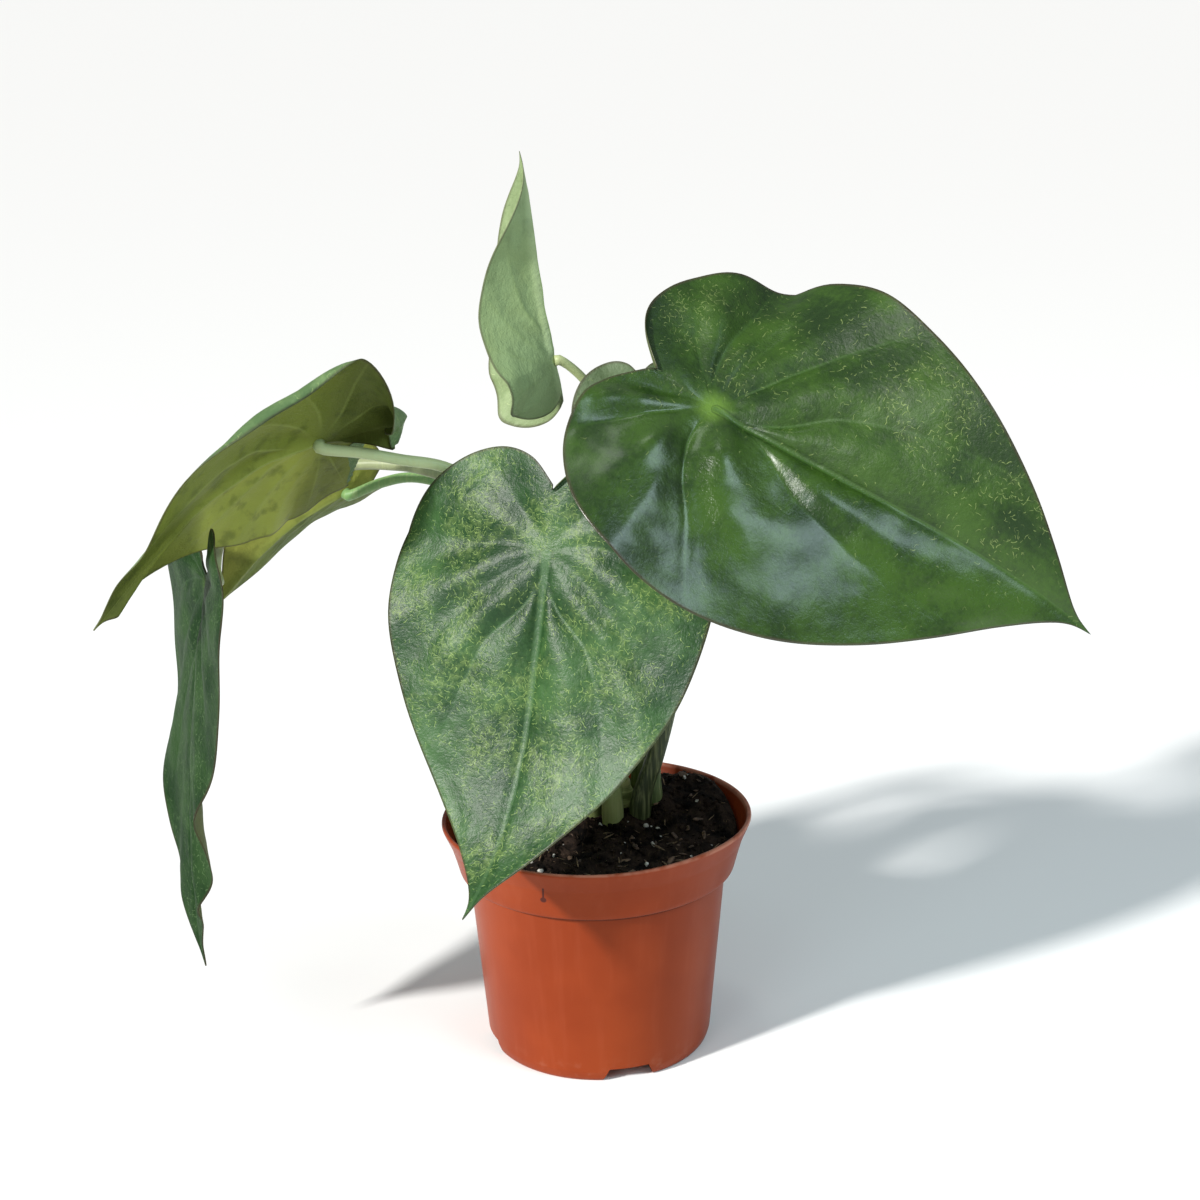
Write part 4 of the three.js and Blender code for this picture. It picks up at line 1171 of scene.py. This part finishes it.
def place_property(name, description, default):
    return FloatVectorProperty(name=name, description=description, subtype="TRANSLATION", unit="LENGTH",
                               size=3, default=default)


def share_property(name, description, default):
    return FloatProperty(name=name, description=description, subtype="FACTOR", min=0, max=1, default=default)


def angle_property(name, description, degrees):
    return FloatProperty(name=name, description=description, subtype="ANGLE", unit="ROTATION",
                         default=math.radians(degrees))


def number_property(name, description, default, low, high):
    kind = IntProperty if isinstance(default, int) else FloatProperty
    return kind(name=name, description=description, default=default, min=low, max=high)


class PotSettings(bpy.types.PropertyGroup):
    """The nursery pot."""
    sides: number_property("Sides", "Faces round the pot", 180, 24, 360)
    corner: number_property("Corner radius", "How round the moulded corners are, in millimetres", 0.7, 0.1, 2)
    roughness: share_property("Roughness", "Least roughness of the plastic", 0.3)
    deep: colour_property("Deep colour", "The plastic's darker colour", (0.215, 0.032, 0.0075))
    light: colour_property("Light colour", "The plastic's lighter colour", (0.26, 0.042, 0.01))
    bloom: colour_property("Bloom colour", "The faint streaks in the plastic", (0.45, 0.13, 0.07))
    drip_place: place_property("Drip", "Where the dried drip ends, in the frame", (-0.017, -0.038, 0.0795))


class SoilSettings(bpy.types.PropertyGroup):
    """The soil and what lies on it."""
    rings: number_property("Rings", "Rings of faces in the soil's top", 110, 20, 200)
    sides: number_property("Sides", "Faces round the soil", 220, 40, 400)
    crumbs: number_property("Crumbs", "Loose crumbs of soil", 900, 0, 2000)
    perlite: number_property("Perlite", "White grains", 55, 0, 400)
    bark: number_property("Bark", "Flat bits of bark", 70, 0, 200)
    fibres: number_property("Fibres", "Thin pale fibres", 170, 0, 400)
    dark: colour_property("Dark colour", "Wet soil", (0.0014, 0.0011, 0.001))
    brown: colour_property("Brown colour", "Drier soil", (0.03, 0.019, 0.014))


class LeafSettings(bpy.types.PropertyGroup):
    """The blades and stalks."""
    spokes: number_property("Spokes", "Spokes in half a large blade", 150, 20, 200)
    rings: number_property("Rings", "Rings of faces in a large blade", 84, 8, 120)
    stalk_sides: number_property("Stalk sides", "Faces round a stalk", 24, 8, 48)
    stalk_steps: number_property("Stalk steps", "Rings along a stalk", 110, 20, 300)
    vein_strength: share_property("Veins", "How clearly veins are coloured", 0.6)
    fleck_strength: share_property("Flecks", "How clearly flecks are coloured", 0.55)
    margin_strength: share_property("Margin", "How clearly the margin is coloured", 0.7)
    grain_depth: number_property("Grain depth", "Depth of the skin's grain, in millimetres", 0.25, 0, 2)
    junction_colour: colour_property("Junction colour", "Where stalk and veins meet", (0.12, 0.22, 0.03))
    margin_colour: colour_property("Margin colour", "The thin margin", (0.05, 0.03, 0.022))


class StudioSettings(bpy.types.PropertyGroup):
    """Floor, light and camera."""
    lens: FloatProperty(name="Lens", description="Focal length", default=66.0, min=10, max=300, unit="CAMERA")
    camera_place: place_property("Camera", "Where the camera stands, from the pot's axis",
                                 (0.0025, -0.792, 0.416))
    pitch: angle_property("Pitch", "How far the camera looks down", 16.7)
    roll: angle_property("Roll", "How far the camera is turned", -0.8)
    key_strength: number_property("Key light", "Strength of the main light", 4.65, 0, 100)
    key_turn: angle_property("Key direction", "Where the main light comes from, round the plant", -141.5)
    key_height: angle_property("Key height", "How high the main light stands", 31)
    panel_glow: number_property("Panels", "Brightness of the soft panels", 6.0, 0, 100)
    world: number_property("World", "Strength of the light from all round", 0.31, 0, 10)
    floor_colour: colour_property("Floor colour", "The pale floor", (0.92, 0.92, 0.92))


def from_direction(turn, height):
    return Vector((math.cos(height) * math.cos(turn), math.cos(height) * math.sin(turn), math.sin(height)))


class ALOCASIA_OT_pot(bpy.types.Operator):
    """Build the nursery pot with its foot notches and drain holes"""
    bl_idname = "alocasia.pot"
    bl_label = "Nursery pot"

    def execute(self, context):
        settings = context.scene.alocasia_pot
        outside = [
            (0, FLOOR_BOTTOM), (FOOT_RADIUS - FOOT_RING, FLOOR_BOTTOM), (FOOT_RADIUS - FOOT_RING, 0),
            (FOOT_RADIUS, 0), (FOOT_RADIUS + 1, 1.4), (WALL_FOOT_RADIUS, 4),
            (WALL_TOP_RADIUS, BAND_HEIGHT - 1.2), (BAND_RADIUS - 0.6, BAND_HEIGHT),
            (BAND_RADIUS, BAND_HEIGHT + 1.4), (BAND_RADIUS + 1.3, FLARE_HEIGHT), (56.7, 84), (59.1, 89.4),
            (RIM_RADIUS, POT_HEIGHT - 1), (RIM_RADIUS - 0.4, POT_HEIGHT),
        ]
        inside = [
            (RIM_RADIUS - POT_WALL, POT_HEIGHT - 0.2), (57.5, 89.8), (55.3, 84.6),
            (BAND_RADIUS, FLARE_HEIGHT + 0.4), (BAND_RADIUS - POT_WALL, BAND_HEIGHT + 1.6),
            (WALL_TOP_RADIUS - POT_WALL, BAND_HEIGHT), (WALL_FOOT_RADIUS - POT_WALL, 9.4),
            (FOOT_RADIUS - POT_WALL, FLOOR_TOP), (0, FLOOR_TOP),
        ]
        points, faces = lathe(rounded(outside + inside, settings.corner), settings.sides)
        piece = make_piece("nursery_pot", in_frame(warp_by_rim(points)), faces, pot_material(settings),
                           "pot")
        cut(piece, notch_cutters() + drain_cutters())
        piece.data.polygons.foreach_set("use_smooth", [True] * len(piece.data.polygons))
        piece.data.set_sharp_from_angle(angle=math.radians(38))
        return {"FINISHED"}

def mostly_in_front(x, y):
    """The chance that a white grain lies at a place on the soil."""
    return 0.25 + 0.75 * math.exp(-((x - 5) / 26) ** 2 - ((y + 22) / 22) ** 2)
class ALOCASIA_OT_soil(bpy.types.Operator):
    """Build the soil and the crumbs, perlite and bark on it"""
    bl_idname = "alocasia.soil"
    bl_label = "Soil"

    def execute(self, context):
        settings = context.scene.alocasia_soil
        earth = soil_material(settings)
        white = grain_material("perlite", (0.3, 0.28, 0.25), (0.62, 0.6, 0.56), 0.7)
        brown = grain_material("bark", (0.03, 0.017, 0.01), (0.13, 0.075, 0.045), 0.6)
        straw = grain_material("fibre", (0.05, 0.03, 0.015), (0.2, 0.13, 0.07), 0.6)
        lump = ((0.6, 1.0), (0.5, 0.9))
        chip = ((0.3, 0.55), (0.15, 0.3))
        thread = ((0.08, 0.14), (0.08, 0.14))
        build_soil(earth, settings.rings, settings.sides)
        scatter_grains("soil_crumbs", settings.crumbs, (1.0, 3.4), lump, 0.1, earth, 5, coarse=True)
        scatter_grains("perlite_grains", settings.perlite, (0.7, 2.6), lump, 0.28, white, 8, mostly_in_front)
        scatter_grains("bark_bits", settings.bark, (2.2, 6.5), chip, 0.12, brown, 13)
        scatter_grains("soil_fibres", settings.fibres, (1.6, 6.0), thread, 0.16, straw, 21)
        return {"FINISHED"}


class ALOCASIA_OT_stem(bpy.types.Operator):
    """Build the short pale stem at the crown"""
    bl_idname = "alocasia.stem"
    bl_label = "Crown stem"

    def execute(self, context):
        build_stem_base(stem_material())
        return {"FINISHED"}


class ALOCASIA_OT_stalks(bpy.types.Operator):
    """Build the leaf stalks"""
    bl_idname = "alocasia.stalks"
    bl_label = "Leaf stalks"

    def execute(self, context):
        settings = context.scene.alocasia_leaves
        for leaf in LEAVES:
            build_stalk(leaf, settings.stalk_sides, settings.stalk_steps, stalk_material(leaf))
        return {"FINISHED"}


class ALOCASIA_OT_blades(bpy.types.Operator):
    """Build the leaf blades with their veins"""
    bl_idname = "alocasia.blades"
    bl_label = "Leaf blades"

    def execute(self, context):
        settings = context.scene.alocasia_leaves
        for leaf in LEAVES:
            size = 1.0 if leaf["length"] > LARGE_BLADE else SMALL_BLADE_SHARE
            material = blade_material(leaf, {**PLAIN_LOOK, **LOOKS[leaf["name"]]}, settings)
            build_blade(leaf, int(settings.spokes * size), int(settings.rings * size), material)
        return {"FINISHED"}


class ALOCASIA_OT_studio(bpy.types.Operator):
    """Set up the pale floor, the soft light and the camera"""
    bl_idname = "alocasia.studio"
    bl_label = "Studio"

    def execute(self, context):
        settings = context.scene.alocasia_studio
        scene = context.scene
        scene.view_settings.view_transform = "Standard"

        wide = FLOOR_HALF
        corners = [(-wide, -wide, 0), (wide, -wide, 0), (wide, wide, 0), (-wide, wide, 0)]
        mesh = new_mesh("studio_floor", corners, [(0, 1, 2, 3)])
        mesh.materials.append(Paint("studio_floor").finish(
            Base_Color=(*settings.floor_colour, 1.0), Roughness=0.9, Specular_IOR_Level=0.1))
        floor = new_object("studio_floor", mesh)

        world = bpy.data.worlds.new("studio")
        world.use_nodes = True
        scene.world = world
        background = world.node_tree.nodes["Background"]
        background.inputs["Color"].default_value = (0.93, 0.97, 1.0, 1.0)
        background.inputs["Strength"].default_value = settings.world

        axis = Vector((POT_AXIS[0], POT_AXIS[1], 0)) * MM
        aim = axis + Vector((0, 0, AIM_HEIGHT))
        data = bpy.data.lights.new("key_light", "SUN")
        data.energy = settings.key_strength
        data.angle = math.radians(SUN_SPREAD)
        data.color = (1.0, 0.985, 0.95)
        key = new_object("key_light", data)
        away = from_direction(settings.key_turn, settings.key_height)
        key.rotation_euler = away.to_track_quat("Z", "Y").to_euler()

        for name, turn, height, distance, width, tall, colour in PANELS:
            data = bpy.data.lights.new(name, "AREA")
            data.shape = "RECTANGLE"
            data.size = width
            data.size_y = tall
            data.energy = math.pi * width * tall * settings.panel_glow
            data.color = colour
            light = new_object(name, data)
            away = from_direction(math.radians(turn), math.radians(height))
            light.location = aim + away * distance
            light.rotation_euler = away.to_track_quat("Z", "Y").to_euler()

        data = bpy.data.cameras.new("camera")
        data.lens = settings.lens
        data.sensor_width = 36.0
        camera = new_object("camera", data)
        turn = Matrix.Rotation(math.pi / 2 - settings.pitch, 4, "X") @ Matrix.Rotation(settings.roll, 4, "Z")
        camera.matrix_world = Matrix.Translation(axis + Vector(settings.camera_place)) @ turn
        scene.camera = camera
        return {"FINISHED"}


class ALOCASIA_PT_panel(bpy.types.Panel):
    """Lists the operators and their settings"""
    bl_idname = "ALOCASIA_PT_panel"
    bl_label = "Potted alocasia"
    bl_space_type = "VIEW_3D"
    bl_region_type = "UI"
    bl_category = "Alocasia"

    def draw(self, context):
        groups = [
            (("alocasia.pot",), context.scene.alocasia_pot),
            (("alocasia.soil", "alocasia.stem"), context.scene.alocasia_soil),
            (("alocasia.stalks", "alocasia.blades"), context.scene.alocasia_leaves),
            (("alocasia.studio",), context.scene.alocasia_studio),
        ]
        for operators, settings in groups:
            box = self.layout.box()
            for operator in operators:
                box.operator(operator)
            for key in settings.bl_rna.properties.keys():
                if key not in {"rna_type", "name"}:
                    box.prop(settings, key)


GROUPS = {
    "alocasia_pot": PotSettings,
    "alocasia_soil": SoilSettings,
    "alocasia_leaves": LeafSettings,
    "alocasia_studio": StudioSettings,
}
OPERATORS = (ALOCASIA_OT_studio, ALOCASIA_OT_pot, ALOCASIA_OT_soil, ALOCASIA_OT_stem, ALOCASIA_OT_stalks,
             ALOCASIA_OT_blades)


def register():
    for made in (*GROUPS.values(), *OPERATORS, ALOCASIA_PT_panel):
        bpy.utils.register_class(made)
    for key, made in GROUPS.items():
        setattr(bpy.types.Scene, key, PointerProperty(type=made))


def unregister():
    for key in GROUPS:
        delattr(bpy.types.Scene, key)
    for made in reversed((*GROUPS.values(), *OPERATORS, ALOCASIA_PT_panel)):
        bpy.utils.unregister_class(made)


def main():
    register()
    bpy.ops.alocasia.studio()
    bpy.ops.alocasia.pot()
    bpy.ops.alocasia.soil()
    bpy.ops.alocasia.stem()
    bpy.ops.alocasia.stalks()
    bpy.ops.alocasia.blades()


if __name__ == "__main__":
    main()
